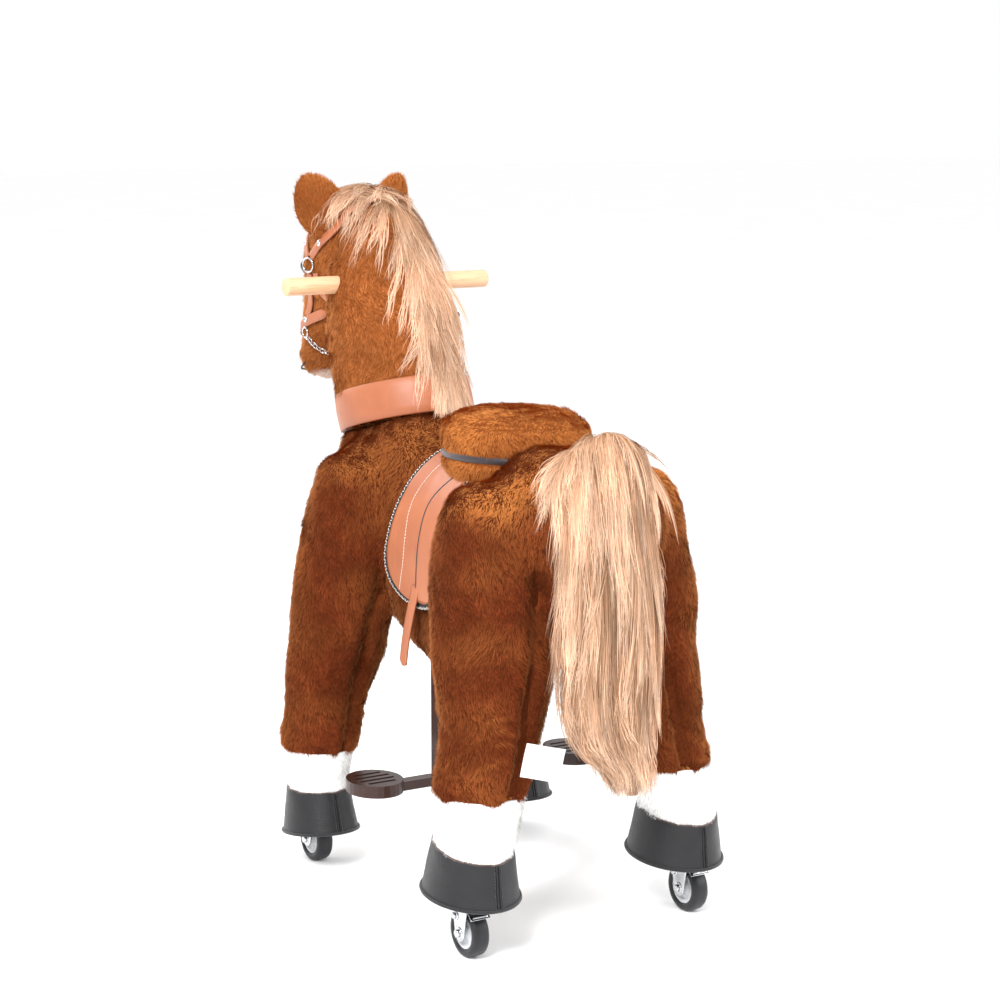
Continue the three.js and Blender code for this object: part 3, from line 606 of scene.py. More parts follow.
def fur(name, mesh, material, length, lie, seed, keep=None, width=0.0008, lean=1.15, patch_and_painted_light=None, seams_with_painted_shade=()):
    """Short pile. lie(points, normals) is the way it is brushed, and lean its angle from the normal."""
    rng = np.random.default_rng(seed)
    p, n = scattered(mesh, DENSITY, rng, keep)
    count = len(p)
    t = lie(p, n)
    t = unit(t - (t * n).sum(1, keepdims=True) * n)
    side = np.cross(n, t)
    turn = 0.30 * waves(p, 0.09, seed + 1) + 0.22 * waves(p, 0.022, seed + 2) + rng.normal(0, 0.16, count)
    t = t * np.cos(turn)[:, None] + side * np.sin(turn)[:, None]
    side = np.cross(n, t)
    tuft = waves(p, 0.02, seed + 3)
    angle = lean + 0.13 * tuft + rng.normal(0, 0.10, count)
    ahead = n * np.cos(angle)[:, None] + t * np.sin(angle)[:, None]
    size = length * rng.uniform(0.7, 1.15, count) * (1 + 0.10 * waves(p, 0.03, seed + 4))
    shade = 0.5 + 0.04 * tuft + 0.07 * waves(p, 0.09, seed + 6) + rng.normal(0, 0.12, count)
    # Painted shade: strands along each seam are darker, and shorter.
    for line, reach in seams_with_painted_shade:
        near = np.exp(-(distance_to(p, line) / reach) ** 2)
        shade = shade - 1.1 * near
        size = size * (1 - 0.4 * near)
    root = p - n * 0.0005
    tip = root + ahead * size[:, None]
    tip, tone = gathered(p, tip, TUFT, seed)
    shade = shade + 0.05 * tone
    roll = rng.normal(0, 0.30, count)
    blade = side * np.cos(roll)[:, None] + np.cross(side, ahead) * np.sin(roll)[:, None]
    widths = width * rng.uniform(0.75, 1.25, (count, 1)) * np.array([[1.0, 0.0]])
    spot = np.zeros(count) if patch_and_painted_light is None else patch_and_painted_light(p, n)
    made = ribbon_mesh(name, np.stack([root, tip], 1), np.repeat(blade[:, None], 2, 1),
                       np.repeat(n[:, None], 2, 1), widths, shade, spot)
    ob = dressed(add_object(name, made), material)
    ob.visible_shadow = False  # the skin under the pile casts the shadows
    return ob


# ---------- the coat ----------
# Torso sections from chest to rump: y, half-width, top, bottom.
TORSO = [
    (-294, 0.01, 501, 499), (-284, 52, 556, 446), (-255, 92, 588, 408), (-205, 108, 600, 384),
    (-150, 112, 604, 352), (-100, 108, 600, 312), (-50, 104, 590, 282), (0, 104, 580, 274),
    (60, 104, 578, 280), (110, 106, 590, 306), (160, 110, 606, 350), (210, 112, 609, 384),
    (252, 100, 600, 410), (284, 64, 570, 452), (298, 0.01, 516, 514),
]
# Leg sections from shoulder to fetlock: x, y, z, half-width, half-length.
LEGS = {
    "front": dict(
        side=-1, wheel=(151, -210), fur_low=158,
        hoof=dict(x=154, y=-190, low=49, height=58, tilt=7, slant=4, wide=49, long=58),
        sections=[(118, -168, 568, 0.01, 0.01), (114, -168, 552, 38, 42), (108, -168, 510, 62, 66),
                  (106, -172, 450, 73, 72), (113, -178, 390, 71, 70), (124, -184, 330, 66, 66),
                  (135, -190, 270, 60, 60), (142, -197, 220, 54, 55), (150, -196, 175, 48, 53),
                  (153, -193, 120, 46, 51), (154, -192, 100, 0.01, 0.01)]),
    "rear": dict(
        side=1, wheel=(162, 221), fur_low=192,
        hoof=dict(x=151, y=204, low=74, height=61, tilt=5, slant=6, wide=57, long=69),
        sections=[(114, 170, 573, 0.01, 0.01), (108, 170, 556, 40, 48), (102, 170, 510, 64, 74),
                  (98, 173, 450, 75, 84), (101, 181, 390, 75, 79), (111, 190, 330, 69, 73),
                  (120, 200, 270, 63, 67), (131, 206, 220, 57, 62), (142, 206, 175, 53, 60),
                  (149, 205, 130, 51, 58), (150, 205, 110, 0.01, 0.01)]),
}
NECK = [(0, -190, 520, 0.01, 0.01), (0, -200, 535, 84, 100), (0, -222, 600, 82, 104), (3, -243, 660, 81, 100),
        (6, -258, 712, 81, 96), (6, -280, 770, 75, 86), (2, -303, 825, 59, 70), (0, -320, 862, 44, 44),
        (0, -328, 880, 0.01, 0.01)]
HEAD = [(0, -280, 872, 0.01, 0.01), (0, -296, 866, 34, 26), (0, -340, 838, 59, 56), (0, -385, 795, 60, 64),
        (0, -414, 748, 50, 55), (0, -434, 703, 43, 46), (0, -447, 668, 42, 41), (0, -455, 646, 33, 32),
        (0, -460, 632, 0.01, 0.01)]
MANE = [(-4, -405, 866, 0.01, 0.01), (-5, -390, 880, 24, 20), (-6, -345, 888, 36, 32), (-10, -292, 872, 40, 38),
        (-20, -242, 826, 44, 36), (-28, -209, 765, 50, 34), (-34, -185, 700, 50, 30), (-36, -165, 645, 36, 20),
        (-36, -155, 618, 0.01, 0.01)]
# The tail's hair hangs a little narrower than the CAD volume, and swings to the right at its end.
TAIL_HAIR = [(6, 262, 628, 0.01, 0.01), (8, 270, 618, 34, 16), (20, 294, 590, 58, 22), (26, 308, 525, 60, 26),
             (24, 312, 430, 65, 27), (24, 312, 345, 64, 26), (17, 311, 275, 52, 22), (-4, 310, 232, 27, 14),
             (-14, 309, 197, 12, 8)]

STEERING_LEAN = math.radians(15)
STEERING_AXIS = np.array([0, -math.sin(STEERING_LEAN), math.cos(STEERING_LEAN)])
STEERING_POINT = metres((0, -222, 588))
COLLAR = (1.0, 52.0)  # the collar's lower and upper edge, in millimetres along the steering axis
SEAT = dict(y=62, wide=96, long=108, low=564, high=641)


def above_steering(points):
    """Height along the steering axis above the plane where the neck turns, in metres."""
    return (points - STEERING_POINT) @ STEERING_AXIS


def torso_rings(grow=0.0, span=(0.0, 1.0)):
    sections = [(0, y, (top + bottom) / 2, half, (top - bottom) / 2) for y, half, top, bottom in TORSO]
    return loft(sections, across=(0, 0, 1), squareness=2.4, grow=grow, sides=72, rings=90, span=span)


def leg_rings(leg, sign, grow=0.0, low=None, start=0.0):
    """A leg's rings from the shoulder down to a height."""
    t = np.linspace(0, 1, 400)
    z = catmull(leg["sections"], t)[0][:, 2]
    end = 1.0 if low is None else float(t[np.argmax(z <= low)])
    rings = loft(leg["sections"], across=(0, 1, 0), grow=grow, sides=56, rings=64, span=(start, end))
    return rings * (sign, 1, 1)


def torso_x(y, z, grow=0.0):
    """How far out the torso's side is at each y and z, in millimetres."""
    table = np.array(TORSO, float)
    half = np.interp(y, table[:, 0], table[:, 1]) + grow
    top = np.interp(y, table[:, 0], table[:, 2]) + grow
    bottom = np.interp(y, table[:, 0], table[:, 3]) - grow
    share = np.clip(np.abs(z - (top + bottom) / 2) / ((top - bottom) / 2), 0, 0.999)
    return half * (1 - share**2.4) ** (1 / 2.4)


def skinned(name, parts, voxel, smoothing):
    """One smooth closed skin over overlapping closed parts, in metres."""
    verts, faces = together(parts)
    ob = add_object(name, mesh_of(name, metres(verts), faces))
    modified(ob, "REMESH", mode="VOXEL", voxel_size=voxel, use_smooth_shade=True)
    modified(ob, "SMOOTH", factor=0.5, iterations=smoothing)
    applied(ob)
    return ob


def split_off(source, faces_wanted, name, extra=None):
    """A new mesh of some of source's faces, with extra (vertices, faces) in metres added to it."""
    co = points_of(source)
    polygons = [tuple(p.vertices) for p in source.polygons]
    chosen = [polygons[i] for i in np.flatnonzero(faces_wanted)]
    used = np.unique(np.concatenate([np.array(c) for c in chosen]))
    where = np.full(len(co), -1)
    where[used] = np.arange(len(used))
    parts = [(co[used], [[int(where[i]) for i in c] for c in chosen])]
    if extra is not None:
        parts.append(extra)
    verts, faces = together(parts)
    return mesh_of(name, verts, faces, outward=False)


def crease(co, normal, path, depth, width):
    """Pushes points in along a seam that follows a path of points in millimetres."""
    return co - normal * (depth * np.exp(-(distance_to(co, path, 80) / width) ** 2))[:, None]


SEAMS = {
    "rear": [(84, 252, 470), (90, 268, 400), (99, 266, 330), (114, 266, 260), (128, 268, 196)],
    "front": [(98, -100, 440), (104, -106, 380), (112, -116, 320), (124, -132, 250), (136, -140, 160)],
}
GROIN = [(60, 96, 340), (96, 92, 400), (120, 92, 470), (118, 96, 540)]


def mirrored(line, sign):
    return [(sign * x, y, z) for x, y, z in line]


def body_coat():
    parts = [closed(torso_rings())]
    for leg in LEGS.values():
        for _, sign in SIDES:
            parts.append(closed(leg_rings(leg, sign, low=leg["fur_low"])))
    ob = skinned("body_skin", parts, 0.006, 24)
    mesh = ob.data
    co, normal = points_of(mesh), normals_of(mesh)
    # Soft lumps of the stuffing, sewn seams, and folds that run round the lower legs.
    co = co + normal * (0.0022 * waves(co, 0.12, 31) + 0.0003 * waves(co, 0.05, 32))[:, None]
    for sign in (1, -1):
        for seam, depth, width in ((SEAMS["rear"], 0.019, 0.009), (SEAMS["front"], 0.017, 0.0085),
                                   (GROIN, 0.007, 0.012)):
            co = crease(co, normal, mirrored(seam, sign), depth, width)
        for _ in LEGS:
            near = np.exp(-((co[:, 0] * sign - 0.13) / 0.06) ** 4)
            fold = np.sin(co[:, 2] * 240 + 5 * waves(co, 0.12, 33)) * step(-co[:, 2], -0.36, -0.26)
            co = co - normal * (0.0008 * near * fold)[:, None]
    # The coat is cut flat where the neck turns and hollowed under the seat.
    height = above_steering(co)
    across = (co - STEERING_POINT) @ np.array((0, math.cos(STEERING_LEAN), math.sin(STEERING_LEAN)))
    reach = np.hypot(co[:, 0] / 0.088, across / 0.108)
    room = 0.012 * step(reach, 1.0, 1.16) - 0.001
    near = (1 - step(reach, 1.12, 1.42)) * step(normal[:, 2], 0.2, 0.6) * (height > -0.05)
    over = height - room
    co = co - (np.clip(over, 0, None) + np.clip(over, -0.013, 0) * near)[:, None] * STEERING_AXIS
    mm = millimetres(co)
    inside = ((mm[:, 0] / (SEAT["wide"] - 4)) ** 2 + ((mm[:, 1] - SEAT["y"]) / (SEAT["long"] - 4)) ** 2) < 1
    sink = inside & (mm[:, 2] > 540)
    co[sink, 2] = np.minimum(co[sink, 2], 0.550)
    set_points(mesh, co)
    return ob


body = body_coat()
torso_tree = tree_of(*closed(torso_rings()))
centres = millimetres([p.center for p in body.data.polygons])
leg_of_face = np.full(len(centres), -1)
leg_names = [(end, side, sign) for end in LEGS for side, sign in SIDES]
to_torso = np.array([torso_tree.find_nearest(Vector(c))[3] for c in centres])
for index, (end, side, sign) in enumerate(leg_names):
    leg = LEGS[end]
    near = (np.sign(centres[:, 0]) == sign) & (np.abs(centres[:, 1] - leg["side"] * 180) < 110)
    leg_tree = tree_of(*closed(leg_rings(leg, sign)))
    for i in np.flatnonzero(near):
        if centres[i, 2] < 300 or leg_tree.find_nearest(Vector(centres[i]))[3] < to_torso[i] - 1.5:
            leg_of_face[i] = index


def hidden(rings):
    """An inner skin in metres, which closes the coat of the torso or of a leg."""
    verts, faces = closed(rings)
    return metres(verts), faces


SADDLE_LOW, SADDLE_TOP = 385, 600


def under_saddle(p):
    """True where the saddle's underlay lies on the coat."""
    mm = millimetres(p)
    low, high = saddle_edges(mm[:, 2])
    return (mm[:, 2] > SADDLE_LOW + 4) & (mm[:, 1] > low + 5) & (mm[:, 1] < high - 5)


def bezier(points, t):
    p = np.asarray(points, float)
    t = t[:, None]
    if len(p) == 3:
        return p[0] * (1 - t) ** 2 + 2 * p[1] * t * (1 - t) + p[2] * t**2
    return p[0] * (1 - t) ** 3 + 3 * p[1] * t * (1 - t) ** 2 + 3 * p[2] * t**2 * (1 - t) + p[3] * t**3


T = np.linspace(0, 1, 40)
FRONT_EDGE = np.vstack([bezier([(-20, 600), (-52, 545), (-78, 445)], T),
                        bezier([(-78, 445), (-82, 400), (-45, 386), (2, 385)], T)])
REAR_EDGE = np.vstack([bezier([(82, 600), (76, 540), (74, 450)], T),
                       bezier([(74, 450), (74, 410), (48, 386), (2, 385)], T)])


def saddle_edges(z, inset=0.0):
    """The y of the underlay's front and rear edge at each height, moved in by inset."""
    z = np.clip(z, SADDLE_LOW, SADDLE_TOP)
    front = np.interp(z, FRONT_EDGE[::-1, 1], FRONT_EDGE[::-1, 0])
    rear = np.interp(z, REAR_EDGE[::-1, 1], REAR_EDGE[::-1, 0])
    return front + inset, rear - inset


def body_lie(p, n):
    """Down and a little back, and straight back along the top."""
    t = np.zeros_like(p)
    top = step(n[:, 2], 0.35, 0.9)
    t[:, 2] = -1 + top
    t[:, 1] = 0.25 + 0.9 * top
    t[:, 0] = 0.4 * np.sign(p[:, 0]) * top
    return t


def tone_with_painted_light(base, top_light):
    """Painted light as a mix towards the lighter colour: a base share, more where the coat faces upwards (painted top
    light), more on the top of the rump (painted highlight) and a little more on the horse's right side (painted light
    from that side), in soft random patches.
    """
    def spot(p, n):
        up = step(n[:, 2], 0.0, 0.95)
        rump_highlight = 0.34 * step(p[:, 1] - SHIFT / 1000, 0.150, 0.240) * step(n[:, 2], 0.15, 0.75)
        right = 0.10 * step(-n[:, 0], 0.2, 0.8) * (base < 0.3)
        return np.clip(base + top_light * up + rump_highlight + right + 0.05 * waves(p, 0.10, 77), 0, 1)
    return spot


def coat_keep(p, n):
    """No pile under the seat and the saddle."""
    mm = millimetres(p)
    seat = ((mm[:, 0] / SEAT["wide"]) ** 2 + ((mm[:, 1] - SEAT["y"]) / SEAT["long"]) ** 2 < 0.93) & (mm[:, 2] > 520)
    return ~(seat | under_saddle(p) & (np.abs(mm[:, 0]) > 40))


PILE = 0.0088  # the length of the coat's strands, in metres
# Painted light on the coat: lighter where it faces upwards.
COAT_PAINTED_LIGHT = tone_with_painted_light(0.03, 0.42)


def coat_part(name, faces, lining):
    """A part of the coat with its lining, and the mesh of what shows of it."""
    ob = add_object(f"{name}_coat", split_off(body.data, faces, f"{name}_coat", hidden(lining)))
    return dressed(ob, SKIN), split_off(body.data, faces, f"{name}_visible")


torso, torso_visible = coat_part("torso", leg_of_face < 0, torso_rings(-9, span=(0.07, 0.93)))
settled(torso, "chassis", ("torso_plush",))
settled(fur("torso_fur", torso_visible, CHESTNUT, PILE, body_lie, 100, coat_keep, patch_and_painted_light=COAT_PAINTED_LIGHT,
            seams_with_painted_shade=[(mirrored(GROIN, sign), 0.008) for sign in (1, -1)]), "chassis")

for index, (end, side, sign) in enumerate(leg_names):
    leg = LEGS[end]
    node = f"{end}_{side}"
    y = (SHIFT + leg["side"] * 150) / 1000
    lining = leg_rings(leg, sign, -9, leg["fur_low"] + 12, 0.09)
    coat, visible = coat_part(f"{node}_leg", leg_of_face == index, lining)
    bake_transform(coat)
    settled(coat, None, (f"{node}_leg_plush",))

    def leg_keep(p, n):
        return ((n[:, 2] > -0.75) | (p[:, 2] > leg["fur_low"] / 1000 + 0.02)) & ~under_saddle(p)

    hair = fur(f"{node}_leg_fur", visible, CHESTNUT, PILE, body_lie, 200 + 10 * index, leg_keep, patch_and_painted_light=COAT_PAINTED_LIGHT,
               seams_with_painted_shade=[(mirrored(SEAMS[end], sign), 0.010)])
    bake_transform(hair)
    settled(hair, None)
bpy.data.objects.remove(body)


# ---------- head and neck ----------
def head_coat():
    ob = skinned("head_and_neck_coat", [closed(loft(NECK)), closed(loft(HEAD))], 0.005, 9)
    mesh = ob.data
    co, normal = points_of(mesh), normals_of(mesh)
    co = co + normal * (0.0016 * waves(co, 0.09, 41))[:, None]
    for sign in (1, -1):
        # The jaw's seam, and the dart where the handle comes out.
        jaw = [(50, -300, 850), (60, -318, 805), (60, -330, 760), (45, -345, 725)]
        dart = [(62, -262, 792), (66, -290, 770), (64, -318, 745), (60, -325, 700)]
        co = crease(co, normal, mirrored(jaw, sign), 0.008, 0.010)
        co = crease(co, normal, mirrored(dart, sign), 0.006, 0.009)
    set_points(mesh, co)
    keep = above_steering(np.array([p.center for p in mesh.polygons])) > 0.0015
    trimmed = split_off(mesh, keep, "head_and_neck_coat")
    bpy.data.objects.remove(ob)
    return add_object("head_and_neck_coat", trimmed)


head = head_coat()
settled(dressed(head, GOLDEN_SKIN), "neck", ("head_and_neck_plush",))
head_tree = mesh_tree(head.data)


def head_lie(p, n):
    """Down the neck, and from the poll towards the muzzle on the face."""
    mm = millimetres(p)
    face = step(-mm[:, 1], 300, 345)[:, None]
    down = np.array([0, 0.25, -1.0])
    ahead = np.array([0, -0.45, -0.9])
    return down * (1 - face) + ahead * face


def chin_patch(p, n):
    """The pale pile under the chin."""
    d = np.linalg.norm((millimetres(p) - (0, -430, 634)) / (44, 28, 22), axis=1)
    return 0.5 * (1 - step(d, 0.5, 1.0))


STRAP_LIFT = 0.0045
strap_lines = []  # (centre line in metres, width without pile) of each strap


def on_head(x, y, z, lift=STRAP_LIFT):
    """The nearest point on the head's skin, raised by lift, and the normal there."""
    found, normal, _, _ = head_tree.find_nearest(Vector(metres((x, y, z))))
    return np.array(found) + np.array(normal) * lift, np.array(normal)


def strap_rings(centre, side, normal, width, thickness):
    """Rings of a flat strap with rounded upper edges."""
    w, h = width / 2, thickness / 2
    outline = [(-w, -h), (-w, h * 0.3), (-w * 0.9, h), (w * 0.9, h), (w, h * 0.3), (w, -h)]
    return np.stack([centre + side * a + normal * b for a, b in outline], 1)


def strap_part(controls, width, thickness):
    """A flat strap on the head along control points, as (vertices, faces) in metres, and its centre line."""
    placed = [on_head(*point) for point in catmull(controls, np.linspace(0, 1, 60))[0]]
    centre = np.array([c for c, _ in placed])
    normal = np.array([n for _, n in placed])
    for _ in range(3):
        normal[1:-1] = unit(normal[:-2] + normal[1:-1] * 2 + normal[2:])
        centre[1:-1] = (centre[:-2] + centre[1:-1] * 2 + centre[2:]) / 4
    ahead = unit(np.gradient(centre, axis=0))
    side = unit(np.cross(ahead, normal))
    normal = unit(np.cross(side, ahead))
    return closed(strap_rings(centre, side, normal, width, thickness)), centre


def raw_piece(name, part, material, body, replaces=()):
    """A named piece from (vertices, faces) already in metres."""
    ob = dressed(add_object(name, mesh_of(name, *part)), material)
    return settled(ob, body, replaces)


def plane_loop(y, z, tilt):
    """A loop on the head's skin in a tilted plane, found by casting rays inwards, and the normals there."""
    middle = Vector(metres((0, y, z)))
    found = []
    for a in np.linspace(0, TAU, 72, endpoint=False):
        d = Vector((math.cos(a), math.sin(a) * math.cos(tilt), math.sin(a) * math.sin(tilt)))
        found.append(head_tree.ray_cast(middle + d * 0.16, -d)[:2])
    spots, normals = np.array([[tuple(v) for v in hit] for hit in found]).swapaxes(0, 1)
    return spots + normals * STRAP_LIFT, normals


def loop_strap(centre, normal, width, thickness):
    """A strap that goes all the way round, in metres."""
    for _ in range(4):
        centre = (np.roll(centre, 1, 0) + centre * 2 + np.roll(centre, -1, 0)) / 4
        normal = unit(np.roll(normal, 1, 0) + normal * 2 + np.roll(normal, -1, 0))
    ahead = unit(np.roll(centre, -1, 0) - np.roll(centre, 1, 0))
    side = unit(np.cross(ahead, normal))
    return looped(strap_rings(centre, side, normal, width, thickness))


STRAPS = {
    "crown": (0.012, [(61, -372, 808), (62, -345, 828), (56, -315, 850), (34, -300, 872), (0, -296, 884)]),
    "brow": (0.012, [(60, -382, 806), (54, -400, 830), (34, -402, 850), (0, -402, 856)]),
    "cheek": (0.012, [(61, -379, 786), (58, -400, 752), (51, -420, 722)]),
    "throat": (0.0095, [(61, -366, 786), (59, -362, 752), (40, -352, 726), (0, -350, 718)]),
}
bridle = []
for sign in (1, -1):
    for width, controls in STRAPS.values():
        part, centre = strap_part(mirrored(controls, sign), width, 0.0026)
        strap_lines.append((centre, 0.008))
        bridle.append(part)
nose_loop, nose_normal = plane_loop(-428, 712, math.radians(22))
strap_lines.append((nose_loop, 0.009))
bridle.append(loop_strap(nose_loop, nose_normal, 0.014, 0.0028))
raw_piece("bridle_straps", together(bridle), TAN, "neck", ("bridle",))


def around(normal, count):
    """Unit vectors at even steps round a normal."""
    a = unit(np.cross(unit(normal), (0.3, 0.5, 0.81)))
    b = np.cross(unit(normal), a)
    angle = np.linspace(0, TAU, count, endpoint=False)
    return np.cos(angle)[:, None] * a + np.sin(angle)[:, None] * b


def torus(centre, normal, radius, thick, count=36, sides=10):
    """A ring of round wire, in metres."""
    path = centre + radius * around(normal, count)
    return tube(path, thick, sides, loop=True, normals=path - centre)


def dome(centre, normal, radius, height, sides=24):
    """A rounded stud that stands on a surface, in metres."""
    n = unit(normal)
    rings = [centre + radius * math.cos(k) * around(n, sides) + n * height * math.sin(k)
             for k in np.linspace(0, math.pi / 2 * 0.97, 7)]
    return closed(np.array([rings[0] - n * 0.002, *rings]))


metal = []
for sign in (1, -1):
    for x, y, z in ((61, -345, 828), (60, -390, 770), (50, -424, 716), (58, -398, 826)):
        spot, normal = on_head(sign * x, y, z, STRAP_LIFT + 0.0013)
        metal.append(dome(spot, normal, 0.0042, 0.0022))
    spot, normal = on_head(sign * 61, -376, 797, STRAP_LIFT + 0.002)
    metal.append(torus(spot + normal * 0.001, normal + np.array((0, 0.25, 0)), 0.0098, 0.0013))
    spot, normal = on_head(sign * 47, -424, 698, STRAP_LIFT + 0.002)
    metal.append(torus(spot + normal * 0.001, normal, 0.0072, 0.0012))
    # The bit chain: links that turn by a right angle, from the small ring to under the chin.
    controls = [(sign * 47, -421, 690), (sign * 42, -408, 678), (sign * 25, -398, 668), (0, -395, 664)]
    chain = [on_head(*p, lift=0.0055) for p in catmull(controls, np.linspace(0, 1, 11))[0]]
    for i, (spot, normal) in enumerate(chain):
        ahead = unit(chain[min(i + 1, 10)][0] - chain[max(i - 1, 0)][0])
        turned = normal if i % 2 else np.cross(normal, ahead)
        metal.append(torus(spot, turned, 0.0034, 0.00085, 20, 6))
raw_piece("bridle_rings", together(metal), CHROME, "neck")

eyes = [dome(*on_head(sign * 46, -437, 792, -0.003), 0.0125, 0.0105, 32) for sign in (1, -1)]
raw_piece("eyes", together(eyes), EYE, "neck")
nostrils = [torus(*on_head(sign * 20, -478, 662, 0.004), 0.0055, 0.0022, 20, 8) for sign in (1, -1)]
raw_piece("nostrils", together(nostrils), BINDING, "neck")
mouth = catmull([(38, -440, 655), (28, -470, 642), (0, -482, 638), (-28, -470, 642), (-38, -440, 655)],
                np.linspace(0, 1, 40))[0]
raw_piece("mouth", tube([on_head(*point, 0.006)[0] for point in mouth], 0.0014, 8), BINDING, "neck")

HANDLE = np.array((0, -272.47, 776.36))


def head_keep(p, n):
    """No pile under the collar, the straps, the eyes and the handle."""
    keep = above_steering(p) > (COLLAR[1] - 3) / 1000
    for centre, width in strap_lines:
        keep &= gap(p, centre[::2]) > width * 0.62
    keep &= gap(p, [metres((x * 50, -446, 790)) for x in (1, -1)]) > 0.013
    mm = millimetres(p)
    return keep & ((mm[:, 1] + 272.5) ** 2 + (mm[:, 2] - 776.4) ** 2 >= 13**2)


settled(fur("head_fur", head.data, GOLDEN, PILE, head_lie, 300, head_keep, patch_and_painted_light=chin_patch),
        "neck")


# ---------- ears ----------
def ear_part(sign):
    """A rounded cupped ear: an outer and an inner leaf joined at the rim."""
    rows, cols = 30, 24
    base, tip = np.array((46.0, -334, 846)), np.array((88.0 if sign > 0 else 64.0, -350, 921))
    up = unit(tip - base)
    out = unit(np.cross(up, (0.35, 1.0, 0.1)))
    back = np.cross(out, up)
    rings = []
    for v in np.linspace(0, 1, rows):
        width = max(36 * math.sin(math.pi * min(0.16 + 0.84 * v**0.9, 1)) ** 0.55, 0.4)
        thick = 7.0 * math.sin(math.pi * min(0.12 + 0.88 * v, 1)) ** 0.5 + 0.4
        cup = 13 * math.sin(math.pi * v) ** 0.7
        centre = base + (tip - base) * v
        angle = np.arange(cols) / cols * TAU
        side = np.cos(angle) * width
        depth = np.sin(angle) * thick - cup * (side / max(width, 1)) ** 2
        rings.append(centre + side[:, None] * out + depth[:, None] * back)
    return closed(np.array(rings) * (sign, 1, 1))


for side, sign in SIDES:
    verts, faces = ear_part(sign)
    ob = add_object(f"ear_{side}_coat", mesh_of(f"ear_{side}_coat", metres(verts), faces))
    modified(ob, "SUBSURF", levels=1)
    applied(ob)
    smooth_shaded(ob.data)
    settled(dressed(ob, GOLDEN_SKIN), "neck", (f"ear_{side}",))
    # The ears' pile gets painted top light too.
    settled(fur(f"ear_{side}_fur", ob.data, CHESTNUT, 0.0075,
                lambda p, n: np.tile((0.0, 0.1, 1.0), (len(p), 1)), 330 + sign, patch_and_painted_light=tone_with_painted_light(0.35, 0.2)),
            "neck")


# ---------- mane and tail ----------
LOCK_STRAND = 0.0007  # the width of a strand of the mane and the tail, in metres


def lock_hair(name, locks, body, seed):
    """Locks of long hair, each (path in millimetres, outward normals, strands, root spread, tip spread, shade)."""
    rng = np.random.default_rng(seed)
    made = []
    t = np.linspace(0, 1, 11)
    taper = np.array([0.7, 1, 1, 1, 1, 1, 1, 1, 1, 0.6, 0])
    for path, outward, count, spread, tip_spread, shade in locks:
        centre = catmull(metres(path), t)[0]
        normal = unit(catmull(outward, t)[0])
        ahead = unit(np.gradient(centre, axis=0))
        side = unit(np.cross(ahead, normal))
        normal = unit(np.cross(side, ahead))
        a = rng.normal(0, 0.5, (count, 1))
        b = np.abs(rng.normal(0, 0.5, (count, 1)))
        reach = rng.uniform(0.72, 1.08, (count, 1))
        u = t[None] * reach
        flare = spread * np.clip(1 - u, 0, 1) ** 0.6 + tip_spread * u
        wave = rng.uniform(0.6, 1.6, (count, 1))
        phase = rng.uniform(0, TAU, (count, 1))
        sway = 0.0042 * np.sin(wave * u * 7 + phase) * u
        c, s, n = (np.stack([np.interp(np.clip(u, 0, 1), t, line[:, k]) for k in range(3)], -1)
                   for line in (centre, side, normal))
        extra = np.clip(u - 1, 0, None)[..., None] * (centre[-1] - centre[-2]) / (t[1] - t[0])
        c = c + extra + s * (a * flare + sway)[..., None] + n * (b * flare * 0.55 + 0.6 * sway)[..., None]
        roll = rng.normal(0, 0.5, (count, 1))
        tangent = unit(np.gradient(c, axis=1))
        blade = unit(s * np.cos(roll)[..., None] + n * np.sin(roll)[..., None])
        made.append((c, unit(np.cross(np.cross(tangent, blade), tangent)), unit(n + 0.55 * s * a[..., None]),
                     LOCK_STRAND * rng.uniform(0.6, 1.3, (count, 1)) * taper,
                     np.clip(shade + rng.normal(0, 0.17, count), 0, 1)))
    c, s, n, w, shade = map(np.concatenate, zip(*made))
    mesh = ribbon_mesh(name, c, s, n, w, shade, np.zeros(len(c)), 0.75)
    ob = dressed(add_object(name, mesh), BLOND)
    ob.visible_shadow = False
    return settled(ob, body)


def on_volume(sections, u, angle, share=1.0):
    """A point on a lofted volume and its outward normal; angle -90 degrees faces away from the body."""
    value, slope = catmull(sections, np.array([u]))
    depth = unit(np.cross(unit(slope[:, :3]), (1.0, 0, 0)))[0]
    size = np.maximum(value[0, 3:], 0.5)
    wide, deep = np.array((math.cos(angle), 0, 0)), depth * math.sin(angle)
    return value[0, :3] + (wide * size[0] + deep * size[1]) * share, unit(wide / size[0] + deep / size[1])


def volume_locks(sections, count, seed, start, reach, share, lift, angles):
    """Locks that follow a volume from a random start, each for a random share of its length."""
    rng = np.random.default_rng(seed)
    locks = []
    for i in range(count):
        u0 = rng.uniform(*start)
        u1 = min(u0 + rng.uniform(*reach), 0.995)
        angle = rng.uniform(*angles)
        drift = rng.normal(0, 0.20)
        depth = rng.uniform(*share)
        flick = rng.uniform(-3, 11) * (depth > 0.85)
        sway = rng.normal(0, 8) + 6 * math.cos(angle)
        path, outward = [], []
        for k in np.linspace(0, 1, 8):
            p, n = on_volume(sections, u0 + (u1 - u0) * k, np.clip(angle + drift * k, *angles), depth)
            path.append(p + n * (lift * math.sin(math.pi * k) + flick * k**3) + np.array((sway * k**2, 0, 0)))
            outward.append(n)
        # Painted shade: the deeper a lock lies in the volume, the darker it is.
        shade = 0.22 + 0.5 * (depth - share[0]) / (share[1] - share[0]) + rng.normal(0, 0.14)
        locks.append((np.array(path), np.array(outward), 18, 0.008, 0.003, shade))
    return locks


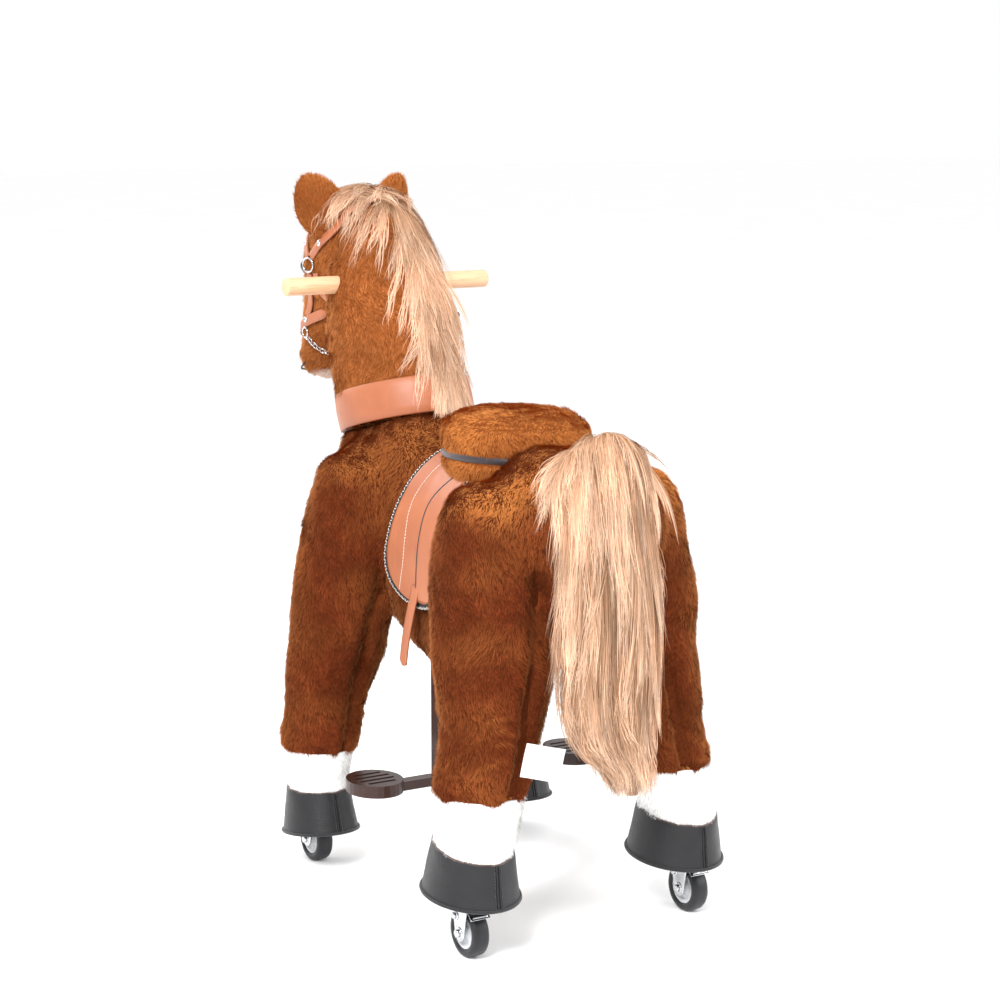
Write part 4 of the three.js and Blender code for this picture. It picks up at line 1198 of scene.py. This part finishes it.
def draped(start, direction, length, tree, lift, seed, weight, steps=16):
    """A path in millimetres that leaves a point, falls under its own weight and stays outside a surface."""
    rng = np.random.default_rng(seed)
    p = metres(start)
    d = unit(np.array(direction, float) + rng.normal(0, 0.12, 3))
    path, outward = [p.copy()], []
    hop = length / 1000 / steps
    sway = rng.normal(0, 0.07, 3)
    for k in range(steps):
        d = unit(d + np.array((0, 0, -1.0)) * weight * (0.35 + 0.65 * k / steps) + sway)
        p = p + d * hop
        found, normal, _, _ = tree.find_nearest(Vector(p))
        n = np.array(normal)
        height = float((p - np.array(found)) @ n)
        need = lift / 1000 * min(1.0, (k + 1) / 4)
        if height < need:
            p = p + n * (need - height)
            d = unit(d - min(0.0, float(d @ n)) * n)
        path.append(p.copy())
        outward.append(n)
    outward.insert(0, outward[0])
    return millimetres(path), np.array(outward)


def core(name, sections, share, body, replaces):
    """A narrow solid inside the locks, so that nothing shows through them, coloured darker than the hair as painted
    shade for the depth of the locks.
    """
    rings = loft(sections, sides=40, rings=44)
    middle = rings.mean(1, keepdims=True)
    piece(name, closed(middle + (rings - middle) * share), BLOND_CORE_SHADE, body, replaces)


core("tail_core", TAIL_HAIR, 0.60, "chassis", ("tail",))
coat_tree = mesh_tree(torso_visible)
few = 1.0  # the share of the locks that is made
tail_locks = volume_locks(TAIL_HAIR, int(560 * few), 51, (0.02, 0.80), (0.14, 0.36), (0.75, 1.0), 3.0,
                          (-1.25 * math.pi, 0.25 * math.pi))
rng = np.random.default_rng(52)
for i in range(int(120 * few)):
    # Tufts that spray out of the root, to both sides and over the top, and then hang.
    angle = rng.uniform(-0.12, 1.12) * math.pi
    direction = (0.95 * math.cos(angle), 0.35 + 0.6 * math.sin(angle), 0.15)
    length = rng.uniform(60, 150)
    path, outward = draped((8 + rng.normal(0, 9), 258 + rng.normal(0, 9), 606), direction, length, coat_tree,
                           rng.uniform(4, 24), 600 + i, weight=0.75)
    tail_locks.append((path, outward, 20, 0.007, 0.003, rng.uniform(0.35, 0.85)))
lock_hair("tail_hair", tail_locks, "chassis", 53)

core("mane_core", MANE, 0.42, "neck", ("mane",))
mane_locks = volume_locks(MANE, int(40 * few), 61, (0.30, 0.85), (0.16, 0.30), (0.35, 0.55), 2.0,
                          (-0.97 * math.pi, -0.03 * math.pi))
rng = np.random.default_rng(62)
for i in range(int(330 * few)):
    # Locks from the crest of the neck, most of them to the left.
    height = 690 + 200 * rng.random() ** 0.85
    x = rng.normal(-7, 6)
    hit = head_tree.ray_cast(Vector(metres((x, 100, height))), Vector((0, -1, 0)))
    hit = hit if hit[0] else head_tree.find_nearest(Vector(metres((x, -260, height))))
    start = millimetres(hit[0])
    direction = np.array(hit[1]) * 0.25 + (rng.normal(-0.03, 0.11), 0.1, -0.9)
    length = min(rng.uniform(85, 150), (height - 582) / 0.85)
    path, outward = draped(start, direction, length, head_tree, rng.uniform(2, 11), 900 + i, weight=0.6)
    mane_locks.append((path, outward, 19, 0.0075, 0.003, rng.uniform(0.3, 0.85)))
for i in range(int(90 * few)):
    # The forelock fans from the poll over the brow and the roots of the ears.
    angle = rng.uniform(0, TAU)
    direction = (math.cos(angle), -0.30 + 0.8 * math.sin(angle), 0.10)
    path, outward = draped((rng.normal(-2, 13), -322 + rng.normal(0, 14), 886), direction, rng.uniform(50, 95),
                           head_tree, rng.uniform(4, 20), 700 + i, weight=0.6)
    mane_locks.append((path, outward, 19, 0.007, 0.003, rng.uniform(0.4, 0.9)))
lock_hair("mane_hair", mane_locks, "neck", 63)


# ---------- collar ----------
def neck_at(height, angle, grow):
    """A point on the neck at a height along the steering axis, by angle round it."""
    t = np.linspace(0.1, 0.6, 160)
    value, slope = catmull(NECK, t)
    depth = unit(np.cross(unit(slope[:, :3]), (1.0, 0, 0)))
    size = value[:, 3:] + grow
    p = value[:, :3] + depth * (math.sin(angle) * size[:, 1])[:, None]
    p[:, 0] += math.cos(angle) * size[:, 0]
    level = above_steering(metres(p)) * 1000
    return np.array([np.interp(height, level, p[:, k]) for k in range(3)])


angles = np.arange(96) / 96 * TAU
profile = [(COLLAR[0] + 1, 0.5), (COLLAR[0], 2.2), (COLLAR[0] + 1.5, 4.2), (14, 5.4), (28, 5.8), (42, 5.2),
           (COLLAR[1] - 1.5, 4.2), (COLLAR[1], 3.0), (COLLAR[1] - 1.2, 1.0), (28, 0.6)]
rows = [[neck_at(h, a, g + 0.5 * math.sin(3 * a + 1) * (h > 40)) for a in angles] for h, g in profile]
collar = piece("collar", looped(np.array(rows)), TAN, "neck", ("neck_collar",))


# ---------- seat ----------
def cushion():
    """The stuffed plush seat: a slightly small oval form that cloth pressure fills."""
    profile = [(0.01, 634), (60, 634), (82, 632), (92, 626), (95.5, 614), (96, 600), (96, 584), (95, 570), (90, 557),
               (80, 553), (0.01, 553)]
    curve = catmull(profile, np.linspace(0, 1, 70))[0]
    angle = np.arange(72) / 72 * TAU
    rings = np.stack([np.cos(angle)[None] * curve[:, 0:1] * (SEAT["wide"] - 5) / 96,
                      np.sin(angle)[None] * curve[:, 0:1] * (SEAT["long"] - 5) / 96 + SEAT["y"],
                      np.broadcast_to(curve[:, 1:2], (70, 72))], -1)
    verts, faces = closed(rings)
    ob = add_object("seat_cushion_cover", mesh_of("seat_cushion_cover", metres(verts), faces))
    modified(ob, "REMESH", mode="VOXEL", voxel_size=0.005)
    applied(ob)
    start = points_of(ob.data).copy()
    cloth = modified(ob, "CLOTH").settings
    cloth.use_pressure = True
    cloth.uniform_pressure_force = 4
    cloth.quality = 5
    cloth.effector_weights.gravity = 0
    for frame_number in range(1, 21):
        scene.frame_set(frame_number)
    applied(ob)
    scene.frame_set(1)
    move = points_of(ob.data) - start
    far = np.linalg.norm(move, axis=1, keepdims=True)
    co = start + move * np.minimum(1, 0.009 / np.maximum(far, 1e-9))
    co[:, 2] = np.maximum(co[:, 2], 0.5515)
    set_points(ob.data, co)
    normal = normals_of(ob.data)
    # The top seam and the channel that the piping lies in.
    mm = millimetres(co)
    reach = np.hypot(mm[:, 0] / SEAT["wide"], (mm[:, 1] - SEAT["y"]) / SEAT["long"])
    seam = np.exp(-((mm[:, 2] - 629) / 3.2) ** 2) * (reach > 0.8)
    band = np.exp(-((mm[:, 2] - 585) / 6.0) ** 2) * (reach > 0.75)
    co = co - normal * (0.0045 * seam + 0.0050 * band)[:, None]
    set_points(ob.data, co)
    modified(ob, "SUBSURF", levels=1)
    applied(ob)
    smooth_shaded(ob.data)
    return dressed(ob, GOLDEN_SKIN)


piece("seat_base", lathe([(0.2, 555), (74, 555), (75.5, 556.5), (75.5, 561.5), (74, 563), (0.2, 563)],
                         (0, SEAT["y"], 0), "z", 72, loop=False), PLY, "chassis", ("seat_board",))
seat = cushion()
settled(seat, "chassis", ("seat_cushion",))
seat_tree = mesh_tree(seat.data)


def seat_lie(p, n):
    """The seat's pile is brushed across its top and down its side."""
    top = step(n[:, 2], 0.4, 0.85)
    return np.stack([0.9 * top, 0.25 * top, top - 1], -1)


def seat_keep(p, n):
    """No pile under the piping and along the top seam."""
    z = p[:, 2] * 1000
    sewn = (np.abs(z - 585) < 4.0) | (np.abs(z - 629.5) < 1.1)
    return (z > 554) & ~(sewn & (n[:, 2] < 0.7))


# The seat's pile is mixed halfway to the lighter colour throughout, and more where it faces upwards (painted top
# light).
settled(fur("seat_fur", seat.data, CHESTNUT, 0.0070, seat_lie, 400, seat_keep, patch_and_painted_light=tone_with_painted_light(0.55, 0.15)),
        "chassis")

band_path = []
for a in np.linspace(0, TAU, 160, endpoint=False):
    z = 585 + 1.0 * math.sin(2 * a)
    origin = Vector(metres((200 * math.cos(a), SEAT["y"] + 200 * math.sin(a), z)))
    target = Vector(metres((0, SEAT["y"], z)))
    band_path.append(np.array(seat_tree.ray_cast(origin, (target - origin).normalized())[0]))
band_path = np.array(band_path)
for _ in range(4):
    band_path = (np.roll(band_path, 1, 0) + 2 * band_path + np.roll(band_path, -1, 0)) / 4
middle = metres((0, SEAT["y"], 585))
outward = unit((band_path - middle) * (1, 1, 0))
raw_piece("seat_piping", tube(band_path + outward * 0.0008, 0.0046, 14, loop=True, flat=0.62, normals=outward), SATIN,
          "chassis")


# ---------- saddle ----------
def slab(outer, inner):
    """A closed sheet between two grids of points, with a rounded rim."""
    rows, cols = outer.shape[:2]
    top, bottom = outer.reshape(-1, 3), inner.reshape(-1, 3)
    size = rows * cols
    faces = grid_faces(rows, cols, wrap=False) + [f[::-1] for f in grid_faces(rows, cols, wrap=False, base=size)]
    rim = [c for c in range(cols)] + [r * cols + cols - 1 for r in range(1, rows)]
    rim += [(rows - 1) * cols + c for c in range(cols - 2, -1, -1)] + [r * cols for r in range(rows - 2, 0, -1)]
    for i, a in enumerate(rim):
        b = rim[(i + 1) % len(rim)]
        faces.append([b, a, a + size, b + size])
    return np.vstack([top, bottom]), faces


def on_torso(points, lift):
    """Rows of (y, z) laid on the torso's left side, in millimetres, and their outward normals."""
    p = np.asarray(points, float)
    x = torso_x(p[:, 0], p[:, 1], lift)
    here = np.stack([x, p[:, 0], p[:, 1]], -1)
    dy = (torso_x(p[:, 0] + 1, p[:, 1], lift) - torso_x(p[:, 0] - 1, p[:, 1], lift)) / 2
    dz = (torso_x(p[:, 0], p[:, 1] + 1, lift) - torso_x(p[:, 0], p[:, 1] - 1, lift)) / 2
    return here, unit(np.stack([np.ones(len(p)), -dy, -dz], -1))


def leaf(y, z, lift, thickness, sign):
    """A closed sheet on a side of the torso, over a grid of y and z, in millimetres."""
    outer, inner = (np.stack([torso_x(y, z, height), y, z], -1) * (sign, 1, 1) for height in (lift + thickness, lift))
    return slab(outer, inner)


def saddle_sheet(inset, lift, thickness, sign):
    """A closed sheet on a side of the torso within the saddle's outline, in millimetres."""
    low = SADDLE_LOW + inset
    share = 1 - np.cos(np.linspace(0, 1, 64) * math.pi / 2)
    heights = low + 0.4 + (SADDLE_TOP - 14 - low) * share
    front, rear = saddle_edges(heights - inset * 0.6, inset)
    front, rear = np.minimum(front, (front + rear) / 2 - 1), np.maximum(rear, (front + rear) / 2 + 1)
    y = front[:, None] + (rear - front)[:, None] * np.linspace(0, 1, 40)
    return leaf(y, np.broadcast_to(heights[:, None], y.shape), lift, thickness, sign)


def lengths(path):
    """How far along a path each of its points is."""
    return np.concatenate([[0], np.cumsum(np.linalg.norm(np.diff(path, axis=0), axis=1))])


def at(s, length, rows):
    """The row at a distance along a path."""
    return np.array([np.interp(s, length, rows[:, k]) for k in range(3)])


def torso_line(controls, lift):
    """A smooth line on the torso's left side, and its outward normals."""
    return on_torso(catmull(controls, np.linspace(0, 1, 90))[0], lift)


UNDERLAY_LIFT, FLAP_LIFT = 1.5, 5.2
edge = np.vstack([FRONT_EDGE, REAR_EDGE[::-1][1:]])
edge = edge[edge[:, 1] < SADDLE_TOP - 10]
for side, sign in SIDES:
    underlay = piece(f"saddle_underlay_{side}", saddle_sheet(0, UNDERLAY_LIFT, 3.4, sign), BINDING,
                     "chassis", (f"saddle_pad_{side}",))
    flap = piece(f"saddle_leather_{side}", saddle_sheet(6.5, FLAP_LIFT, 2.6, sign), TAN,
                 "chassis", (f"saddle_flap_{side}",))
    # The rolled black edge and its white rope stitches.
    path, normal = on_torso(edge, UNDERLAY_LIFT + 2.6)
    mirror = (sign, 1, 1)
    piece(f"saddle_binding_{side}", tube(path * mirror, 2.7, 10, normals=normal * mirror), BINDING, "chassis")
    length = lengths(path)
    rope = []
    for i, s in enumerate(np.arange(3, length[-1] - 3, 4.2)):
        centre, n = at(s, length, path), unit(at(s, length, normal))
        ahead = unit(at(s + 1, length, path) - centre)
        slant = np.cross(n, ahead) * 1.5 - ahead * 1.2 * (1 if i % 2 else -1)
        row = np.array([centre + n * 2.3 + slant, centre + n * 3.0, centre + n * 2.3 - slant])
        rope.append(tube(row * mirror, [0.35, 0.55, 0.35], 6))
    piece(f"saddle_rope_{side}", together(rope), WHITE_THREAD, "chassis")
    # One line of white stitches on the front panel, and a black cord along the rear panel's edge, standing for that
    # edge and for painted shade under it.
    controls = [(0, 580), (-14, 548), (-26, 512), (-28, 470), (-32, 435), (-44, 398)]
    path, _ = torso_line(controls, FLAP_LIFT + 2.75)
    length = lengths(path)
    sewn = [tube(np.array([at(s + d, length, path) for d in (-1.7, 0, 1.7)]) * mirror, [0.25, 0.5, 0.25], 6)
            for s in np.arange(2, length[-1] - 2, 4.4)]
    piece(f"saddle_stitches_{side}", together(sewn), WHITE_THREAD, "chassis")
    controls = [(66, 572), (40, 552), (16, 520), (9, 475), (6, 430), (2, 393)]
    path, normal = torso_line(controls, FLAP_LIFT + 3.2)
    piece(f"saddle_seam_{side}", tube(path * mirror, 1.9, 8, normals=normal * mirror), BINDING, "chassis")
    # The rear panel is a second leaf over the flap, behind the seam.
    rows = np.linspace(394, 570, 48)
    seam_y = np.interp(rows, path[::-1, 2], path[::-1, 1]) + 1
    rear = np.maximum(saddle_edges(rows - 4, 8)[1], seam_y)
    y = seam_y[:, None] + (rear - seam_y)[:, None] * np.linspace(0, 1, 24)
    panel = leaf(y, np.broadcast_to(rows[:, None], y.shape), FLAP_LIFT + 2.4, 2.2, sign)
    piece(f"saddle_rear_panel_{side}", panel, TAN, "chassis")
    # The hanging strap, with its rounded end.
    drop = np.linspace(0, 1, 40)
    half = 8.5 * np.sqrt(np.clip(1 - np.clip((drop - 0.93) / 0.07, 0, 1) ** 2, 0.003, 1))
    centre = np.stack([112.5 + 4.5 * np.sin(drop * 2.4), 4 - 30 * drop, 412 - 108 * drop], -1)
    across = np.array((0.0, math.cos(0.27), -math.sin(0.27)))
    v = np.linspace(-1, 1, 9)
    face = centre[:, None] + half[:, None, None] * v[None, :, None] * across
    outer = face + np.array((1.3, 0, 0)) - np.array((0.5, 0, 0)) * (v**4)[None, :, None]
    inner = face - np.array((1.3, 0, 0))
    strap = piece(f"saddle_strap_{side}", slab(outer * mirror, inner * mirror), TAN, "chassis",
                  (f"girth_strap_{side}",))


# ---------- socks, hooves and casters ----------
def hoof_turn(leg):
    angle = -leg["side"] * math.radians(leg["hoof"]["tilt"])
    c, s = math.cos(angle), math.sin(angle)
    return np.array([[1, 0, 0], [0, c, -s], [0, s, c]])


def hoof_ring(leg, sign, angle, level, grow):
    """Points of the flared oval hoof at levels above its rim, before and after its tilt, in millimetres."""
    hoof = leg["hoof"]
    at = 1 - 0.16 * level / hoof["height"]
    local = np.stack([np.cos(angle) * (hoof["wide"] * at + grow), np.sin(angle) * (hoof["long"] * at + grow),
                      np.broadcast_to(level, angle.shape)], -1)
    return (local @ hoof_turn(leg).T + (hoof["x"], hoof["y"], hoof["low"])) * (sign, 1, 1)


def hoof_top(leg, angle):
    """How high the slanted top of the cuff is above its rim."""
    hoof = leg["hoof"]
    return hoof["height"] - np.sin(angle) * hoof["slant"] * 0.9


for end, side, sign in leg_names:
    leg = LEGS[end]
    hoof = leg["hoof"]
    node = f"{end}_{side}"
    rides = f"{end}_legs"
    angle = np.arange(112) / 112 * TAU
    top = hoof_top(leg, angle) + 0.7 * np.sin(9 * angle) * np.sin(2 * angle + 1)
    levels = [0, 0.03, 0.12, 0.25, 0.4, 0.55, 0.7, 0.82, 0.92, 0.985, 1.0]
    wrinkle = [0.5 * np.sin(5 * angle + 9 * v) * v**2 for v in levels]
    outer = [hoof_ring(leg, sign, angle, top * v, extra) for v, extra in zip(levels, wrinkle)]
    inner = [hoof_ring(leg, sign, angle, top * v, -3.0) for v in (1.0, 0.9, 0.6, 0.3, 0.0)]
    plate = [hoof_ring(leg, sign, angle, 28 + d, -3.2 - g) for d, g in ((0, 2), (0, 0), (5, 0), (5, 2))]
    cup = together([looped(np.array(outer + inner)), closed(np.array(plate))])
    piece(f"{node}_hoof_cuff", cup, VINYL, rides, (f"{node}_hoof",))
    rim = hoof_ring(leg, sign, angle, np.full(len(angle), 1.2), 0.6)
    piece(f"{node}_hoof_piping", tube(rim, 2.1, 10, loop=True), BINDING, rides)
    lip = hoof_ring(leg, sign, angle, top + 0.2, -1.4 + 0.4 * np.sin(40 * angle))
    piece(f"{node}_hoof_edge", tube(lip, 1.35, 8, loop=True), RAW_EDGE, rides)
    # The back seam: a lapped edge with two rows of stitches.
    def on_cuff(offset, share, grow):
        """A point of the cuff beside the middle of its back, at a share of its height."""
        a = np.array([math.pi / 2 + offset])
        return hoof_ring(leg, sign, a, hoof_top(leg, a) * share, grow)[0]

    seam = [tube(np.array([on_cuff(offset, k, 0.7) for k in np.linspace(0.02, 0.985, 20)]), 0.9, 6)
            for offset in (-0.036, 0.036)]
    threads = [tube(np.array([on_cuff(offset, k + up, grow) for up, grow in ((0, 0.1), (0.02, 0.75), (0.04, 0.1))]),
                    [0.3, 0.6, 0.3], 6) for offset in (-0.085, 0.085) for k in np.arange(0.06, 0.96, 0.065)]
    piece(f"{node}_hoof_seam", together(seam), VINYL, rides)
    piece(f"{node}_hoof_stitches", together(threads), BLACK_THREAD, rides)

    # The sock fills the hoof and swells a little between it and the coat.
    inside = hoof_ring(leg, sign, angle, np.full(len(angle), 36.0), -6.5)
    brim = hoof_ring(leg, sign, angle, top - 1.0, -4.2)
    coat_ring = leg_rings(leg, sign, -5.5, leg["fur_low"] + 6)[-1]
    order = np.arctan2(coat_ring[:, 1] - coat_ring[:, 1].mean(), (coat_ring[:, 0] - coat_ring[:, 0].mean()) * sign)
    wanted = (angle + math.pi) % TAU - math.pi
    upper = np.stack([np.interp(wanted, order, coat_ring[:, k], period=TAU) for k in range(3)], -1)
    middle = (brim + upper) / 2
    centre = middle.mean(0)
    # A front sock is flatter behind, where the footrest comes past it.
    outwards = unit((middle - centre) * (1, 1, 0))
    behind = np.clip(outwards[:, 1:2], 0, 1) if end == "front" else 0.0
    swell = middle + outwards * (3.5 - 4.5 * behind)
    curve = [brim * (1 - k) ** 2 + 2 * swell * k * (1 - k) + upper * k**2 for k in np.linspace(0.15, 1, 9)]
    sock = piece(f"{node}_sock_cover", closed(np.array([inside, brim, *curve])[::-1]), WHITE_SKIN, rides,
                 (f"{node}_sock",))

    def sock_keep(p, n):
        mm = millimetres(p)
        slope = math.tan(-leg["side"] * math.radians(hoof["tilt"]) - math.atan2(hoof["slant"], hoof["long"]))
        edge_z = hoof["low"] + hoof["height"] + slope * (mm[:, 1] - hoof["y"])
        return (mm[:, 2] > edge_z + 4) & (mm[:, 2] < leg["fur_low"] + 4) & (np.abs(n[:, 2]) < 0.85)

    settled(fur(f"{node}_sock_fur", sock.data, WHITE_FUR, 0.0060 if end == "front" else 0.0075,
                lambda p, n: np.tile((0.0, 0.05, -1.0), (len(p), 1)), 500 + 7 * leg_names.index((end, side, sign)),
                sock_keep, width=0.0010, lean=0.95), rides)

# Casters. Profiles are (radius, distance along the axle) in millimetres.
AXLE = 31.0
TYRE = [(21.3, -10.2), (24.0, -11.2), (27.2, -11.0), (29.4, -9.8), (30.6, -7.5), (31.0, -4.0), (31.0, 4.0), (30.6, 7.5),
        (29.4, 9.8), (27.2, 11.0), (24.0, 11.2), (21.3, 10.2), (21.1, 0)]
HUB_SIDE = [(4.4, 10.6), (6.6, 10.6), (7.6, 9.8), (8.2, 7.0), (10.0, 5.4), (14.5, 5.0), (16.2, 5.8), (17.4, 8.2),
            (18.6, 9.3), (20.2, 9.4), (21.0, 8.8)]
HUB_PROFILE = HUB_SIDE + [(r, -x) for r, x in HUB_SIDE[::-1]]


def hexagon(centre, radius, low, high):
    """A bolt head on the axle's line, with its washer and a rounded end, in millimetres."""
    angle = np.arange(6) / 6 * TAU + 0.3
    way = np.sign(high - low)
    x, y, z = centre
    steps = (radius * 0.93, low), (radius, low + 0.5 * way), (radius, high - 0.8 * way), (radius * 0.86, high)
    rings = [np.stack([np.full(6, x + h), y + r * np.cos(angle), z + r * np.sin(angle)], -1) for r, h in steps]
    washer = lathe([(0.5, low - way), (radius * 1.35, low - way), (radius * 1.45, low - 0.5 * way),
                    (radius * 1.35, low), (0.5, low)], centre, "x", 28, loop=False)
    return [closed(np.array(rings)), washer]


def cheek(x_low, x_high):
    """One side plate of the fork, seen from the side: round at the axle and wide at the crown."""
    outline = [(10.5 * math.cos(a), AXLE + 10.5 * math.sin(a)) for a in np.linspace(-0.98, -0.02, 22) * math.pi]
    outline += [(13.0, 44), (15.5, 56), (16.0, 64), (14.5, 67.5), (-14.5, 67.5), (-16.0, 64), (-15.0, 54), (-12.5, 42)]
    middle = np.array((0, 48.0))
    edge = 0.4 * np.sign(x_high - x_low)
    rings = []
    for x, shrink in ((x_low, 0.94), (x_low + edge, 1.0), (x_high - edge, 1.0), (x_high, 0.94)):
        shape = middle + (np.array(outline) - middle) * shrink
        rings.append(np.column_stack([np.full(len(shape), x), shape]))
    return closed(np.array(rings))


def mudguard():
    """A ribbed arch that curves down behind the wheel."""
    a = np.linspace(math.radians(84), math.radians(40), 46)[:, None]
    x = np.broadcast_to(np.linspace(-13.4, 13.4, 15), (46, 15))
    rib = 1.3 * (np.cos(np.linspace(0, 1, 46) * TAU * 2.5) > 0.1)[:, None] * (np.abs(x) < 10)
    outer, inner = (np.stack([x, r * np.cos(a), AXLE + r * np.sin(a)], -1)
                    for r in (34.2 + rib, np.full(x.shape, 33.0)))
    return slab(outer, inner)


for end, side, sign in leg_names:
    leg = LEGS[end]
    node = f"{end}_{side}"
    wx, wy = leg["wheel"]
    here = np.array((sign * wx, wy, 0.0))
    axle = here + (0, 0, AXLE)
    wheel_body = f"{node}_wheel"
    fork_body = f"{node}_caster" if end == "front" else "rear_legs"
    piece(f"{node}_rubber", lathe(TYRE, axle, "x", 96), RUBBER, wheel_body, (f"{node}_tyre",))
    hub_parts = [lathe(HUB_PROFILE, axle, "x", 72)]
    for k in range(5):
        a = k / 5 * TAU
        for face in (1, -1):
            spot = axle + (face * 5.0, 12.2 * math.cos(a), 12.2 * math.sin(a))
            hub_parts.append(lathe([(0.3, -0.6), (1.5, -0.6), (1.7, 0.4), (1.1, 0.9), (0.3, 0.9)],
                                   spot + (face * 0.3, 0, 0), "x", 16, loop=False))
    piece(f"{node}_hub_disc", together(hub_parts), HUB, wheel_body, (f"{node}_wheel_hub",))
    crown = [(0.5, 68.4), (14.0, 68.4), (17.5, 67.6), (17.8, 65.4), (14.0, 64.8), (0.5, 64.8)]
    cap = [(0.5, 76), (9.0, 76), (11.5, 74), (12.0, 70), (13.5, 68.3), (0.5, 68.3)]
    parts = [cheek(12.6, 15.2), cheek(-12.6, -15.2), lathe(crown, (0, 0, 0), "z", 48, loop=False),
             lathe(cap, (0, 0, 0), "z", 40, loop=False), mudguard()]
    parts = [(np.asarray(v) + here, f) for v, f in parts]
    for face in (1, -1):
        parts += hexagon(axle, 5.6, face * 16.0, face * 20.0)
        parts += hexagon(axle + (0, -8.5, 20), 4.4, face * 16.0, face * 19.0)
    piece(f"{node}_fork", together(parts), CHROME, fork_body, (f"{node}_caster_fork",))


# ---------- handle, lever and label ----------
ends = [(0.3, -155), (10.6, -155), (11.6, -154.4), (12.0, -153.2)] + [(12.0, x) for x in np.linspace(-150, 150, 31)]
ends += [(12.0, 153.2), (11.6, 154.4), (10.6, 155), (0.3, 155)]
piece("dowel", lathe(ends, HANDLE, "x", 64, loop=False), WOOD, "neck", ("handle_dowel",))

pin = np.array((-70, -264.5, 752.4))
hook = catmull([(2, 4), (-8, 1), (-17, -5), (-23, -13), (-27, -21), (-33, -24.5), (-38, -25.5)],
               np.linspace(0, 1, 44))[0]
path = np.stack([pin[0] + hook[:, 0], np.full(44, pin[1]), pin[2] + hook[:, 1]], -1)
radius = np.interp(np.linspace(0, 1, 44), [0, 0.25, 0.6, 0.85, 0.95, 1], [5.0, 4.4, 4.0, 4.8, 5.0, 3.4])
boss = lathe([(3.4, -4), (7.2, -4), (8.0, -3), (8.0, 3), (7.2, 4), (3.4, 4)], pin, "y", 40)
piece("lever", together([tube(path, radius, 16), boss]), LEVER, "brake_lever", ("brake_lever",))

w = np.linspace(-1, 1, 18)[None]
h = np.linspace(0, 1, 22)[:, None]
outer = np.stack(np.broadcast_arrays(96 - 19 * w + 13 * h, 290 + 12 * w + 5 * h**1.5 + 2.0 * np.sin(w * 2.4 + 0.6),
                                     268 - 38 * h - 3.3 * w), -1)
label = piece("care_label", slab(outer, outer - (0, 0.5, 0)), LABEL, "rear_legs")

# ---------- what stays from the frame ----------
KEPT = (
    (BLACK_STEEL, ["backbone_beam", "front_pivot_yoke", "rear_pivot_yoke", "steering_head_tube", "lower_rail",
                            "pedal_cross_tube", "seat_post", "steering_stem"]
              + [f"{end}_{side}_leg_tube" for end, side, _ in leg_names]),
    (STEEL, ["front_crank_shaft", "rear_crank_shaft"]),
    (PEDAL, ["pedal_left", "pedal_right", "pedal_bar_left", "pedal_bar_right"]),
)
for material, nodes in KEPT:
    for name in nodes:
        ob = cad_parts[name]
        for s in ob.material_slots:
            s.link = "OBJECT"
            s.material = material
        modified(ob, "BEVEL", width=0.0012, segments=2, limit_method="ANGLE", angle_limit=math.radians(35),
                 harden_normals=False)

# ---------- floor ----------
corners = [(-30, -30, 0), (30, -30, 0), (30, 30, 0), (-30, 30, 0)]
floor = add_object("floor", mesh_of("floor", corners, [(0, 1, 2, 3)], outward=False))
paper = Shader("white paper", roughness=0.9)
paper.colour(paper.ramp(paper.noise(0.5, 2.0), [(0.3, 0.985), (0.7, 1.0)]))
dressed(floor, paper.material)
